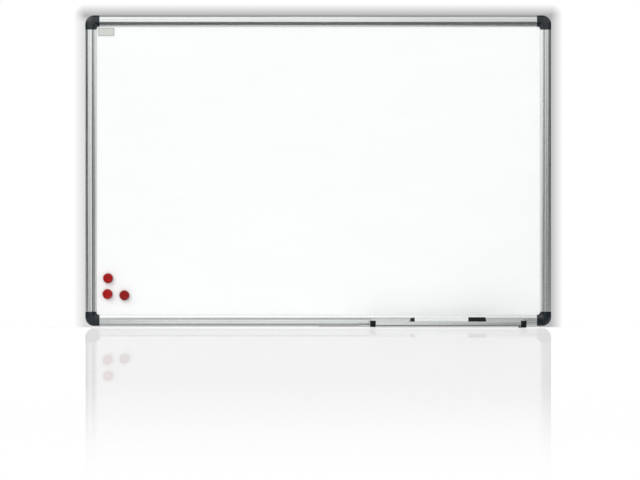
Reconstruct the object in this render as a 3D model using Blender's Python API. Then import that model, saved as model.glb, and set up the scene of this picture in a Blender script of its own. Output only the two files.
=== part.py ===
"""Wall-hung magnetic whiteboard: aluminium frame, clip-on pen tray, marker and three magnets.

Metres, +Z up. The writing face looks along -Y and the wall is the plane y = 0. The origin is the
middle of the top rail's flat back, where the board bears on the wall. Frame sections are drawn in
u, inwards from the rails' outer edge, and w, forwards from the wall.
"""

import math

import bmesh
import bpy
from mathutils import Matrix, Vector

# The board over its corner pieces, and the distances that rule every joint of two pieces.
BOARD_WIDTH = 0.900
BOARD_HEIGHT = 0.600
SEAT_GAP = 0.0003
CUT_OVERRUN = 0.002

# Frame extrusion, the same on all four sides.
RAIL_DEPTH = 0.020
BACK_CHAMFER = 0.0008
OUTER_ROUND = 0.0045
BAND_SAG = 0.0004
BAND_LINE_WIDTH = 0.0005
BAND_LINE_DEPTH = 0.00025
GROOVE_OUTER = 0.0125
GROOVE_WIDTH = 0.0015
LIP_EDGE = 0.021
LIP_THICKNESS = 0.0012
COVE_DROP = 0.0021
CHANNEL_EDGE = 0.009
CHANNEL_BACK = 0.0047
CHANNEL_FRONT = 0.015
FLANGE_TIP = 0.017
FLANGE_THICKNESS = 0.0014
HOOK_SLOT_WALL = 0.0014
HOOK_SLOT_DEPTH = 0.0015
HOOK_SLOT_UNDERCUT = 0.0019
RAIL_WALL = 0.0013
WEB_BACK = 0.0082
CHAMBER_CHAMFER = 0.002
CHAMBER_FRONT = 0.0183
ARC_STEPS = 4

# Moulded corner pieces, which stand proud of the rails and plug into their front chamber.
CORNER_PROUD = 0.0004
CORNER_ARM = 0.027
CORNER_RADIUS_OUTER = 0.017
CORNER_RADIUS_GROOVE = 0.008
CORNER_RADIUS_LIP = 0.0055
CORNER_GROOVE_DEPTH = 0.0018
CORNER_STEPS = 9
TONGUE_REACH = 0.030
TONGUE_ROOT = 0.010
CORING_NEAR = 0.0016
CORING_FAR = 0.0040
CORING_DEPTH = 0.0085

# Countersunk screws from the back, one through each rail end into a tongue.
SCREW_SETBACK = 0.012
SCREW_RADIUS = 0.00145
SCREW_HEAD_RADIUS = 0.0028
SCREW_HEAD_HEIGHT = 0.0012
SCREW_INSET = 0.0003
SCREW_LENGTH = 0.0152
SCREW_POINT = 0.0018
SCREW_STEPS = 12

# The panel: writing sheet, core board and backing sheet, held in the rails' channel.
PANEL_EDGE_GAP = 0.0006
WRITING_SHEET = 0.0006
BACKING_SHEET = 0.0005
CORE_BOARD = 0.0080

# Keyhole hangers, joggled back from the rails' flange to leave room for a screw head.
HANGER_FROM_SIDE = 0.080
HANGER_WIDTH = 0.032
HANGER_THICKNESS = 0.0012
HANGER_NEAR = 0.0098
HANGER_JOGGLE_START = 0.0175
HANGER_JOGGLE_END = 0.0195
HANGER_FAR = 0.042
KEYHOLE_RADIUS = 0.005
KEYHOLE_SLOT_RADIUS = 0.0023
KEYHOLE_SLOT_LENGTH = 0.0075
KEYHOLE_STEPS = 16
RIVET_SPREAD = 0.018
RIVET_RADIUS = 0.0016
RIVET_HEAD_RADIUS = 0.0030
RIVET_HEAD_HEIGHT = 0.0011
RIVET_PLACE = 0.0134
RIVET_STEPS = 12

# Pen tray: one extrusion that hooks into the bottom rail's front groove, closed by two caps.
TRAY_LENGTH = 0.300
TRAY_FROM_RIGHT = 0.050
TRAY_WALL = 0.0012
TRAY_FLOOR = 0.0014
TRAY_REACH = 0.060
TRAY_LIP = 0.009
TRAY_LIP_ROUND = 0.0025
TRAY_HOOK = 0.0009
CAP_PLATE = 0.002
CAP_COVER = 0.0105
CAP_WALL = 0.001
CAP_TOP_WALL = 0.0014
CAP_REAR_HEIGHT = 0.0105
CAP_EDGE_ROUND = 0.0015
RIGHT_CAP_DROP = 0.001
FOOT_REACH = 0.005
FOOT_DEPTH = 0.0040
FOOT_DROP = 0.0003

# Marker, lying in the tray with its cap to the right. Lengths run from its tail.
MARKER_FROM_TRAY_END = 0.077
MARKER_LENGTH = 0.1455
BARREL_RADIUS = 0.008
BARREL_WALL = 0.0012
BARREL_END_ROUND = 0.0005
TAIL_LENGTH = 0.0083
TAIL_RADIUS = 0.0058
TAIL_BASE_RADIUS = 0.0074
TAIL_SPIGOT = 0.006
MARKER_CAP_LENGTH = 0.0338
MARKER_CAP_RADIUS = 0.0077
MARKER_CAP_WALL = 0.0010
MARKER_CAP_END_ROUND = 0.0030
CAP_SEAM_FROM_END = 0.0112
CAP_SEAM_WIDTH = 0.0005
CAP_SEAM_DEPTH = 0.0004
SECTION_COLLAR = 0.007
SECTION_STRAIGHT = 0.011
SECTION_CONE = 0.006
SECTION_TIP_RADIUS = 0.0036
NIB_RADIUS = 0.0024
NIB_OUT = 0.0055
NIB_ROUND_SHARE = 0.6
MARKER_STEPS = 28

# Round magnets: a moulded cap over a ferrite disc. Centres are from the board's left and bottom.
MAGNET_RADIUS = 0.010
MAGNET_TOP_RADIUS = 0.0092
MAGNET_HEIGHT = 0.0078
MAGNET_EDGE_ROUND = 0.0014
MAGNET_DISH_RADIUS = 0.0068
MAGNET_DISH_DEPTH = 0.0003
MAGNET_WALL = 0.0013
DISC_HEIGHT = 0.0045
MAGNET_STEPS = 28
MAGNET_PLACES = (
    ("magnet_upper", 0.0440, 0.0922),
    ("magnet_lower_left", 0.0430, 0.0616),
    ("magnet_lower_right", 0.0756, 0.0593),
)

# Blank label plate near the top left corner.
LABEL_WIDTH = 0.031
LABEL_HEIGHT = 0.0155
LABEL_THICKNESS = 0.0005
LABEL_FROM_LEFT = 0.0250
LABEL_FROM_TOP = 0.0242
LABEL_ROUND = 0.0008

# Places that follow from the sizes above.
CROWN = RAIL_DEPTH
BAND_MIDDLE = (OUTER_ROUND + GROOVE_OUTER) / 2
GROOVE_INNER = GROOVE_OUTER + GROOVE_WIDTH
COVE_TOP = CHANNEL_FRONT + LIP_THICKNESS + COVE_DROP
HOOK_SLOT_BACK = CHANNEL_FRONT + HOOK_SLOT_WALL
FLANGE_BACK = CHANNEL_BACK - FLANGE_THICKNESS
WEB_FRONT = WEB_BACK + RAIL_WALL
CHAMBER_NEAR = RAIL_WALL
CHAMBER_FAR = CHANNEL_EDGE - RAIL_WALL
CHAMBER_MIDDLE = (CHAMBER_NEAR + CHAMBER_FAR) / 2
RAIL_HALF_WIDTH = BOARD_WIDTH / 2 - CORNER_PROUD
RAIL_HALF_HEIGHT = BOARD_HEIGHT / 2 - CORNER_PROUD
RAIL_END = CORNER_ARM + SEAT_GAP
HANGER_HALF_SPREAD = BOARD_WIDTH / 2 - HANGER_FROM_SIDE
TRAY_MIDDLE = BOARD_WIDTH / 2 - TRAY_FROM_RIGHT - TRAY_LENGTH / 2
HANGER_FLAT_MIDDLE = (HANGER_JOGGLE_END + HANGER_FAR) / 2
KEYHOLE_DROP = (KEYHOLE_SLOT_LENGTH + KEYHOLE_SLOT_RADIUS - KEYHOLE_RADIUS) / 2
BACK_FACE_MIDDLE = (BACK_CHAMFER + CHANNEL_EDGE) / 2
CENTRE_HEIGHT = BACK_FACE_MIDDLE - RAIL_HALF_HEIGHT
BACKING_BACK = CHANNEL_BACK + SEAT_GAP
CORE_BACK = BACKING_BACK + BACKING_SHEET + SEAT_GAP
WRITING_BACK = CORE_BACK + CORE_BOARD + SEAT_GAP
WRITING_FACE = WRITING_BACK + WRITING_SHEET
QUARTER = math.pi / 2

# Colour, roughness and metallic value of each finish.
FINISHES = {
    "anodised_aluminium": ((0.62, 0.64, 0.63), 0.35, 1.0),
    "slate_plastic": ((0.09, 0.10, 0.10), 0.40, 0.0),
    "white_lacquer": ((0.90, 0.91, 0.91), 0.12, 0.0),
    "fibre_core": ((0.62, 0.52, 0.38), 0.90, 0.0),
    "galvanised_steel": ((0.56, 0.58, 0.60), 0.45, 1.0),
    "plated_steel": ((0.60, 0.60, 0.58), 0.30, 1.0),
    "black_plastic": ((0.012, 0.013, 0.014), 0.35, 0.0),
    "pearl_plastic": ((0.80, 0.82, 0.82), 0.30, 0.0),
    "white_plastic": ((0.75, 0.76, 0.75), 0.45, 0.0),
    "ink_felt": ((0.010, 0.010, 0.012), 0.95, 0.0),
    "red_plastic": ((0.45, 0.010, 0.012), 0.30, 0.0),
    "ferrite": ((0.035, 0.035, 0.038), 0.60, 0.0),
    "label_foil": ((0.60, 0.64, 0.62), 0.45, 0.0),
}


def finish(name):
    """The material of one finish, made once."""
    found = bpy.data.materials.get(name)
    if found:
        return found
    colour, roughness, metallic = FINISHES[name]
    made = bpy.data.materials.new(name)
    made.use_nodes = True
    made.diffuse_color = (*colour, 1)
    shader = made.node_tree.nodes["Principled BSDF"]
    shader.inputs["Base Color"].default_value = (*colour, 1)
    shader.inputs["Roughness"].default_value = roughness
    shader.inputs["Metallic"].default_value = metallic
    return made


def placed(name, bm, parent, location=(0, 0, 0), rotation=(0, 0, 0)):
    """An object made of the mesh in bm, at its place under its parent."""
    bmesh.ops.recalc_face_normals(bm, faces=bm.faces)
    mesh = bpy.data.meshes.new(name)
    bm.to_mesh(mesh)
    bm.free()
    made = bpy.data.objects.new(name, mesh)
    bpy.context.scene.collection.objects.link(made)
    made.parent = parent
    made.location = location
    made.rotation_euler = rotation
    return made


def piece(name, bm, finish_name, parent, location=(0, 0, 0), rotation=(0, 0, 0)):
    """A sub-part with its finish, smooth where its facets stand for a round."""
    made = placed(name, bm, parent, location, rotation)
    made.data.materials.append(finish(finish_name))
    made.data.shade_smooth()
    made.data.set_sharp_from_angle(angle=math.radians(35))
    return made


def helper(name, bm, parent, location=(0, 0, 0), rotation=(0, 0, 0)):
    """A solid that only shapes another piece."""
    made = placed(name, bm, parent, location, rotation)
    made.hide_render = True
    made.display_type = "WIRE"
    return made


def combine(target, operation, tool):
    """Adds a Boolean of the target with a helper solid."""
    modifier = target.modifiers.new(tool.name, "BOOLEAN")
    modifier.operation = operation
    modifier.object = tool


def anchor(name, parent, location):
    """An empty that carries the pieces of one body."""
    made = bpy.data.objects.new(name, None)
    bpy.context.scene.collection.objects.link(made)
    made.parent = parent
    made.location = location
    return made


def loft(bm, rings):
    """Adds a solid through rings of vertices, with a cap on the first and the last."""
    for ring, following in zip(rings, rings[1:]):
        for i in range(len(ring)):
            j = (i + 1) % len(ring)
            bm.faces.new((ring[i], ring[j], following[j], following[i]))
    bm.faces.new(rings[0])
    bm.faces.new(rings[-1])


def bar(bm, outline, start, end):
    """Adds a straight bar: the (y, z) outline from x = start to x = end."""
    loft(bm, [[bm.verts.new((x, y, z)) for y, z in outline] for x in (start, end)])


def block(bm, low, high):
    """Adds a box between two corners."""
    outline = [(low[1], low[2]), (high[1], low[2]), (high[1], high[2]), (low[1], high[2])]
    bar(bm, outline, low[0], high[0])


def turned(bm, outline, steps, place=Matrix()):
    """Adds a solid turned about the place's Z axis from (radius, height) points.

    An outline that starts and ends on the axis closes there, and any other one closes on itself.
    """
    rings = []
    for radius, height in outline:
        angles = [2 * math.pi * i / steps for i in range(steps if radius else 1)]
        spots = [Vector((radius * math.cos(a), radius * math.sin(a), height)) for a in angles]
        rings.append([bm.verts.new(place @ spot) for spot in spots])
    pairs = list(zip(rings, rings[1:]))
    if outline[0][0]:
        pairs.append((rings[-1], rings[0]))
    for ring, following in pairs:
        for i in range(steps):
            j = i + 1
            corners = (
                ring[i % len(ring)],
                ring[j % len(ring)],
                following[j % len(following)],
                following[i % len(following)],
            )
            bm.faces.new(tuple(dict.fromkeys(corners)))


def arc(centre, radii, start, end, steps):
    """Points of an elliptic arc, in quarter turns from the first axis, both ends included."""
    angles = [(start + (end - start) * i / steps) * QUARTER for i in range(steps + 1)]
    return [
        (centre[0] + radii[0] * math.cos(a), centre[1] + radii[1] * math.sin(a)) for a in angles
    ]


def front_outline(proud, groove):
    """The frame's front as (u, w) points, from the lip's edge out to the outer wall."""
    crown = CROWN + proud
    cove_top = COVE_TOP + proud
    half_line = BAND_LINE_WIDTH / 2
    cove = arc((LIP_EDGE, cove_top), (LIP_EDGE - GROOVE_INNER, COVE_DROP), -1, -2, ARC_STEPS)
    line = [
        (BAND_MIDDLE + half_line, crown),
        (BAND_MIDDLE, crown - BAND_LINE_DEPTH),
        (BAND_MIDDLE - half_line, crown),
    ]
    edge_centre = (OUTER_ROUND - proud, crown - BAND_SAG - OUTER_ROUND)
    edge = arc(edge_centre, (OUTER_ROUND, OUTER_ROUND), 1, 2, ARC_STEPS)
    return [*cove, *groove, (GROOVE_OUTER, crown - BAND_SAG), *line, *edge]


def rail_outline():
    """The extrusion's section as (u, w) points: back, flange, channel, lip, front, outer wall."""
    slot_front = HOOK_SLOT_BACK + HOOK_SLOT_DEPTH
    slot_far = GROOVE_OUTER - HOOK_SLOT_UNDERCUT
    groove = [
        (GROOVE_INNER, HOOK_SLOT_BACK),
        (slot_far, HOOK_SLOT_BACK),
        (slot_far, slot_front),
        (GROOVE_OUTER, slot_front),
    ]
    back = [
        (0, BACK_CHAMFER),
        (BACK_CHAMFER, 0),
        (CHANNEL_EDGE, 0),
        (CHANNEL_EDGE, FLANGE_BACK),
        (FLANGE_TIP, FLANGE_BACK),
    ]
    channel = [
        (FLANGE_TIP, CHANNEL_BACK),
        (CHANNEL_EDGE, CHANNEL_BACK),
        (CHANNEL_EDGE, CHANNEL_FRONT),
        (LIP_EDGE, CHANNEL_FRONT),
    ]
    return [*back, *channel, *front_outline(0, groove)]


def corner_outline():
    """A corner piece's section, still solid where the panel's pocket will be cut."""
    middle = (CHANNEL_BACK + CHANNEL_FRONT) / 2
    groove_floor = CROWN + CORNER_PROUD - BAND_SAG - CORNER_GROOVE_DEPTH
    groove = [(GROOVE_INNER, groove_floor), (GROOVE_OUTER, groove_floor)]
    back = [
        (-CORNER_PROUD, BACK_CHAMFER),
        (BACK_CHAMFER - CORNER_PROUD, 0),
        (CHANNEL_EDGE, 0),
        (CHANNEL_EDGE, FLANGE_BACK),
        (FLANGE_TIP, FLANGE_BACK),
        (FLANGE_TIP, middle),
        (LIP_EDGE, middle),
    ]
    return [*back, *front_outline(CORNER_PROUD, groove)]


def corner_radius(u):
    """Radius of the bend at distance u: large outside, then tighter from the groove to the lip."""
    if u < GROOVE_OUTER:
        share = (u + CORNER_PROUD) / (GROOVE_OUTER + CORNER_PROUD)
        return CORNER_RADIUS_OUTER + (CORNER_RADIUS_GROOVE - CORNER_RADIUS_OUTER) * share
    share = (u - GROOVE_OUTER) / (LIP_EDGE - GROOVE_OUTER)
    return CORNER_RADIUS_GROOVE + (CORNER_RADIUS_LIP - CORNER_RADIUS_GROOVE) * share


def bent(bm, outline, arm):
    """Adds a (u, w) outline swept round the top right corner, with straight arms if arm is set."""
    stations = [i / CORNER_STEPS for i in range(CORNER_STEPS + 1)]
    rings = []
    for share in stations:
        angle = share * QUARTER
        ring = []
        for u, w in outline:
            radius = corner_radius(u)
            centre = u + radius
            spot = (radius * math.sin(angle) - centre, -w, radius * math.cos(angle) - centre)
            ring.append(bm.verts.new(spot))
        rings.append(ring)
    if arm:
        rings.insert(0, [bm.verts.new((-arm, -w, -u)) for u, w in outline])
        rings.append([bm.verts.new((-u, -w, -arm)) for u, w in outline])
    loft(bm, rings)


def section(outline):
    """A (u, w) outline as the (y, z) points of a bar on the top side."""
    return [(-w, -u) for u, w in outline]


def chamber_outlines(clearance):
    """The rear and the front chamber of a rail as (u, w) points, drawn in by a clearance."""
    near = CHAMBER_NEAR + clearance
    far = CHAMBER_FAR - clearance
    web_back = WEB_BACK - clearance
    web_front = WEB_FRONT + clearance
    wall = RAIL_WALL + clearance
    front = CHAMBER_FRONT - clearance
    rear = [(near, wall), (far, wall), (far, web_back), (near, web_back)]
    forward = [
        (near, web_front),
        (far, web_front),
        (far, front),
        (near + CHAMBER_CHAMFER, front),
        (near, front - CHAMBER_CHAMFER),
    ]
    return rear, forward


def screw_outline(clearance):
    """A countersunk screw as (radius, height) points, its head at the origin."""
    radius = SCREW_RADIUS + clearance
    head = SCREW_HEAD_RADIUS + clearance
    top = -SCREW_INSET - CUT_OVERRUN if clearance else 0
    return [
        (0, top),
        (head, top),
        (head, 0),
        (radius, SCREW_HEAD_HEIGHT),
        (radius, SCREW_LENGTH - SCREW_POINT),
        (0, SCREW_LENGTH + clearance),
    ]


def forward_at(x, z, w):
    """A place whose Z axis looks forwards, off the wall."""
    return Matrix.Translation((x, -w, z)) @ Matrix.Rotation(QUARTER, 4, "X")


def slab(bm, half_width, half_height, back, front):
    """Adds a flat slab about the middle, between two distances from the wall."""
    block(bm, (-half_width, -front, -half_height), (half_width, -back, half_height))


def make_rail(name, turns, frame):
    """One side of the frame, cut to length, with its chambers and its fixing holes."""
    upright = turns % 2
    half_span = RAIL_HALF_HEIGHT if upright else RAIL_HALF_WIDTH
    reach = RAIL_HALF_WIDTH if upright else RAIL_HALF_HEIGHT
    half_length = half_span - RAIL_END
    angle = turns * QUARTER
    location = (reach * math.sin(angle), 0, reach * math.cos(angle))
    bm = bmesh.new()
    bar(bm, section(rail_outline()), -half_length, half_length)
    rail = piece(name, bm, "anodised_aluminium", frame, location, (0, angle, 0))
    bm = bmesh.new()
    for outline in chamber_outlines(0):
        bar(bm, section(outline), -half_length - CUT_OVERRUN, half_length + CUT_OVERRUN)
    combine(rail, "DIFFERENCE", helper(f"cut_{name}_chambers", bm, rail))
    bm = bmesh.new()
    for side in (-1, 1):
        along = side * (half_length - SCREW_SETBACK)
        place = forward_at(along, -CHAMBER_MIDDLE, SCREW_INSET)
        turned(bm, screw_outline(SEAT_GAP), SCREW_STEPS, place)
    if not upright:
        for side in (-1, 1):
            for rivet in (-1, 1):
                along = side * HANGER_HALF_SPREAD + rivet * RIVET_SPREAD / 2
                rivet_hole(bm, along, -RIVET_PLACE)
    combine(rail, "DIFFERENCE", helper(f"cut_{name}_holes", bm, rail))


def rivet_hole(bm, along, z):
    """Adds a cutter for one rivet, through the hanger and the flange."""
    radius = RIVET_RADIUS + SEAT_GAP
    depth = CHANNEL_BACK + CUT_OVERRUN
    outline = [(0, 0), (radius, 0), (radius, depth), (0, depth)]
    turned(bm, outline, RIVET_STEPS, forward_at(along, z, 0))


def make_corner(name, across, up, turns, frame):
    """A moulded corner: front to match the rails, tongues, the panel's pocket and a cored back."""
    location = (across * RAIL_HALF_WIDTH, 0, up * RAIL_HALF_HEIGHT)
    bm = bmesh.new()
    bent(bm, corner_outline(), CORNER_ARM)
    corner = piece(name, bm, "slate_plastic", frame, location, (0, turns * QUARTER, 0))
    tongue = chamber_outlines(SEAT_GAP)[1]
    bm = bmesh.new()
    end = CORNER_ARM + TONGUE_REACH
    root = CORNER_ARM - TONGUE_ROOT
    bar(bm, section(tongue), -end, -root)
    upright = [[bm.verts.new((-u, -w, z)) for u, w in tongue] for z in (-end, -root)]
    loft(bm, upright)
    combine(corner, "UNION", helper(f"add_{name}_tongues", bm, corner))
    bm = bmesh.new()
    far = -CORNER_ARM - CUT_OVERRUN
    block(bm, (far, -CHANNEL_FRONT, far), (-CHANNEL_EDGE, -CHANNEL_BACK, -CHANNEL_EDGE))
    coring = [
        (CORING_NEAR, -CUT_OVERRUN),
        (CORING_FAR, -CUT_OVERRUN),
        (CORING_FAR, CORING_DEPTH),
        (CORING_NEAR, CORING_DEPTH),
    ]
    bent(bm, coring, 0)
    along = RAIL_END + SCREW_SETBACK
    for x, z in ((-along, -CHAMBER_MIDDLE), (-CHAMBER_MIDDLE, -along)):
        turned(bm, screw_outline(SEAT_GAP), SCREW_STEPS, forward_at(x, z, SCREW_INSET))
    combine(corner, "DIFFERENCE", helper(f"cut_{name}", bm, corner))
    for arm, x, z in (("side", -CHAMBER_MIDDLE, -along), ("level", -along, -CHAMBER_MIDDLE)):
        flip = arm if turns % 2 == 0 else {"side": "level", "level": "side"}[arm]
        bm = bmesh.new()
        turned(bm, screw_outline(0), SCREW_STEPS)
        screw = piece(f"{name}_screw_{flip}", bm, "plated_steel", frame)
        screw.matrix_basis = corner.matrix_basis @ forward_at(x, z, SCREW_INSET)


def make_panel(frame):
    """The three layers that the rails' channel grips."""
    half_width = RAIL_HALF_WIDTH - CHANNEL_EDGE - PANEL_EDGE_GAP
    half_height = RAIL_HALF_HEIGHT - CHANNEL_EDGE - PANEL_EDGE_GAP
    layers = (
        ("backing_sheet", "galvanised_steel", BACKING_BACK, BACKING_SHEET),
        ("core_board", "fibre_core", CORE_BACK, CORE_BOARD),
        ("writing_sheet", "white_lacquer", WRITING_BACK, WRITING_SHEET),
    )
    for name, finish_name, back, thickness in layers:
        bm = bmesh.new()
        slab(bm, half_width, half_height, back, back + thickness)
        piece(name, bm, finish_name, frame)


def make_hanger(name, across, up, frame):
    """A joggled keyhole plate under one rail's flange, and its two rivets."""
    tab_front = FLANGE_BACK - SEAT_GAP
    tab_back = tab_front - HANGER_THICKNESS
    foot_back = SEAT_GAP
    foot_front = foot_back + HANGER_THICKNESS
    outline = [
        (HANGER_NEAR, tab_back),
        (HANGER_JOGGLE_START, tab_back),
        (HANGER_JOGGLE_END, foot_back),
        (HANGER_FAR, foot_back),
        (HANGER_FAR, foot_front),
        (HANGER_JOGGLE_END, foot_front),
        (HANGER_JOGGLE_START, tab_front),
        (HANGER_NEAR, tab_front),
    ]
    half_width = HANGER_WIDTH / 2
    location = (across * HANGER_HALF_SPREAD, 0, up * RAIL_HALF_HEIGHT)
    bm = bmesh.new()
    bar(bm, [(-w, -up * u) for u, w in outline], -half_width, half_width)
    hanger = piece(name, bm, "plated_steel", frame, location)
    bm = bmesh.new()
    keyhole(bm, -up * HANGER_FLAT_MIDDLE - KEYHOLE_DROP)
    for side in (-1, 1):
        rivet_hole(bm, side * RIVET_SPREAD / 2, -up * RIVET_PLACE)
    combine(hanger, "DIFFERENCE", helper(f"cut_{name}", bm, hanger))
    head_back = tab_back - SEAT_GAP - RIVET_HEAD_HEIGHT
    shank = CHANNEL_BACK - head_back
    rivet = [
        (0, 0),
        (RIVET_HEAD_RADIUS, 0),
        (RIVET_HEAD_RADIUS, RIVET_HEAD_HEIGHT),
        (RIVET_RADIUS, RIVET_HEAD_HEIGHT),
        (RIVET_RADIUS, shank),
        (0, shank),
    ]
    for label, side in (("left", -1), ("right", 1)):
        bm = bmesh.new()
        turned(bm, rivet, RIVET_STEPS)
        pin = piece(f"{name}_rivet_{label}", bm, "plated_steel", hanger)
        pin.matrix_basis = forward_at(side * RIVET_SPREAD / 2, -up * RIVET_PLACE, head_back)


def keyhole(bm, height):
    """Adds a keyhole cutter: a round mouth and a slot above it that the screw's neck rides up."""
    slot_top = height + KEYHOLE_SLOT_LENGTH
    half_angle = math.asin(KEYHOLE_SLOT_RADIUS / KEYHOLE_RADIUS) / QUARTER
    mouth_radii = (KEYHOLE_RADIUS, KEYHOLE_RADIUS)
    slot_radii = (KEYHOLE_SLOT_RADIUS, KEYHOLE_SLOT_RADIUS)
    mouth = arc((0, height), mouth_radii, 1 + half_angle, 5 - half_angle, KEYHOLE_STEPS)
    slot = arc((0, slot_top), slot_radii, 0, 2, KEYHOLE_STEPS // 2)
    outline = [*mouth, *slot]
    depths = (CUT_OVERRUN, -CHANNEL_BACK)
    loft(bm, [[bm.verts.new((x, y, z)) for x, z in outline] for y in depths])


def tray_outline():
    """The tray's section as (y, z) points, from the hook over the floor to the lip."""
    back = RAIL_DEPTH + SEAT_GAP
    inner = back + TRAY_WALL
    lip_inner = TRAY_REACH - TRAY_WALL
    round_in = TRAY_LIP_ROUND - TRAY_WALL
    slot_floor = HOOK_SLOT_BACK + SEAT_GAP
    hook_top = GROOVE_INNER - SEAT_GAP
    hook_under = hook_top - TRAY_HOOK
    barb_end = GROOVE_OUTER - HOOK_SLOT_UNDERCUT + SEAT_GAP
    barb_front = HOOK_SLOT_BACK + HOOK_SLOT_DEPTH - SEAT_GAP
    outer_centre = (TRAY_REACH - TRAY_LIP_ROUND, TRAY_LIP_ROUND)
    inner_centre = (lip_inner - round_in, TRAY_FLOOR + round_in)
    lip_centre = (TRAY_REACH - TRAY_WALL / 2, TRAY_LIP - TRAY_WALL / 2)
    lip_radii = (TRAY_WALL / 2, TRAY_WALL / 2)
    outline = [
        (back, 0),
        *arc(outer_centre, (TRAY_LIP_ROUND, TRAY_LIP_ROUND), -1, 0, ARC_STEPS),
        *arc(lip_centre, lip_radii, 0, 2, ARC_STEPS),
        *arc(inner_centre, (round_in, round_in), 0, -1, ARC_STEPS),
        (inner, TRAY_FLOOR),
        (inner, hook_top),
        (slot_floor, hook_top),
        (slot_floor, barb_end),
        (barb_front, barb_end),
        (barb_front, hook_under),
        (back, hook_under),
    ]
    return [(-w, height) for w, height in outline]


def make_tray_cap(name, side, drop, foot, carrier):
    """An end cap: a plate across the tray's end and a sleeve over the end of its lip."""
    outer = TRAY_REACH + SEAT_GAP + CAP_WALL
    inner = TRAY_REACH - TRAY_WALL - SEAT_GAP - CAP_WALL
    bottom = -SEAT_GAP - CAP_WALL - drop
    top = TRAY_LIP + SEAT_GAP + CAP_TOP_WALL
    back = RAIL_DEPTH + SEAT_GAP
    radii = (CAP_EDGE_ROUND, CAP_EDGE_ROUND)
    low_centre = (outer - CAP_EDGE_ROUND, bottom + CAP_EDGE_ROUND)
    high_centre = (outer - CAP_EDGE_ROUND, top - CAP_EDGE_ROUND)
    nose = [
        *arc(low_centre, radii, -1, 0, ARC_STEPS),
        *arc(high_centre, radii, 0, 1, ARC_STEPS),
    ]
    plate = [(back, bottom), *nose, (inner, top), (back, CAP_REAR_HEIGHT)]
    sleeve = [(inner, bottom), *nose, (inner, top)]
    end = TRAY_LENGTH / 2
    bm = bmesh.new()
    bar(bm, [(-w, z) for w, z in plate], side * (end - CAP_PLATE), side * end)
    cap = piece(name, bm, "black_plastic", carrier)
    bm = bmesh.new()
    bar(bm, [(-w, z) for w, z in sleeve], side * (end - CAP_COVER), side * (end - CAP_PLATE / 2))
    combine(cap, "UNION", helper(f"add_{name}_sleeve", bm, cap))
    if foot:
        heel = end - CAP_COVER - FOOT_REACH
        ends = sorted((side * heel, side * (end - CAP_PLATE)))
        bm = bmesh.new()
        low = (ends[0], CAP_EDGE_ROUND - outer, bottom - FOOT_DROP)
        block(bm, low, (ends[1], FOOT_DEPTH - outer, -SEAT_GAP))
        combine(cap, "UNION", helper(f"add_{name}_foot", bm, cap))
    reach = TRAY_REACH + SEAT_GAP
    lip_back = reach - TRAY_WALL - 2 * SEAT_GAP
    lip_top = TRAY_LIP + SEAT_GAP
    floor_top = TRAY_FLOOR + SEAT_GAP
    round_in = TRAY_LIP_ROUND - TRAY_WALL
    room = [
        (back - CUT_OVERRUN, -SEAT_GAP),
        (reach, -SEAT_GAP),
        (reach, lip_top),
        (lip_back, lip_top),
        (lip_back, floor_top + round_in),
        (lip_back - round_in, floor_top),
        (back - CUT_OVERRUN, floor_top),
    ]
    bm = bmesh.new()
    stop = end - CAP_PLATE
    start = end - CAP_COVER - FOOT_REACH - CUT_OVERRUN
    bar(bm, [(-w, z) for w, z in room], side * start, side * stop)
    combine(cap, "DIFFERENCE", helper(f"cut_{name}_room", bm, cap))


def make_tray(frame):
    """The pen tray on the bottom rail, its caps and the marker that lies in it."""
    carrier = anchor("pen_tray_carrier", frame, (TRAY_MIDDLE, 0, -RAIL_HALF_HEIGHT))
    half_length = TRAY_LENGTH / 2 - CAP_PLATE - SEAT_GAP
    bm = bmesh.new()
    bar(bm, tray_outline(), -half_length, half_length)
    piece("pen_tray", bm, "anodised_aluminium", carrier)
    make_tray_cap("tray_cap_left", -1, 0, False, carrier)
    make_tray_cap("tray_cap_right", 1, RIGHT_CAP_DROP, True, carrier)
    across = TRAY_REACH - TRAY_WALL - SEAT_GAP - BARREL_RADIUS
    height = TRAY_FLOOR + SEAT_GAP + BARREL_RADIUS
    tail = MARKER_FROM_TRAY_END - TRAY_LENGTH / 2
    axis = anchor("marker_axis", carrier, (tail, -across, height))
    axis.rotation_euler = (0, QUARTER, 0)
    make_marker(axis)


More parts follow.
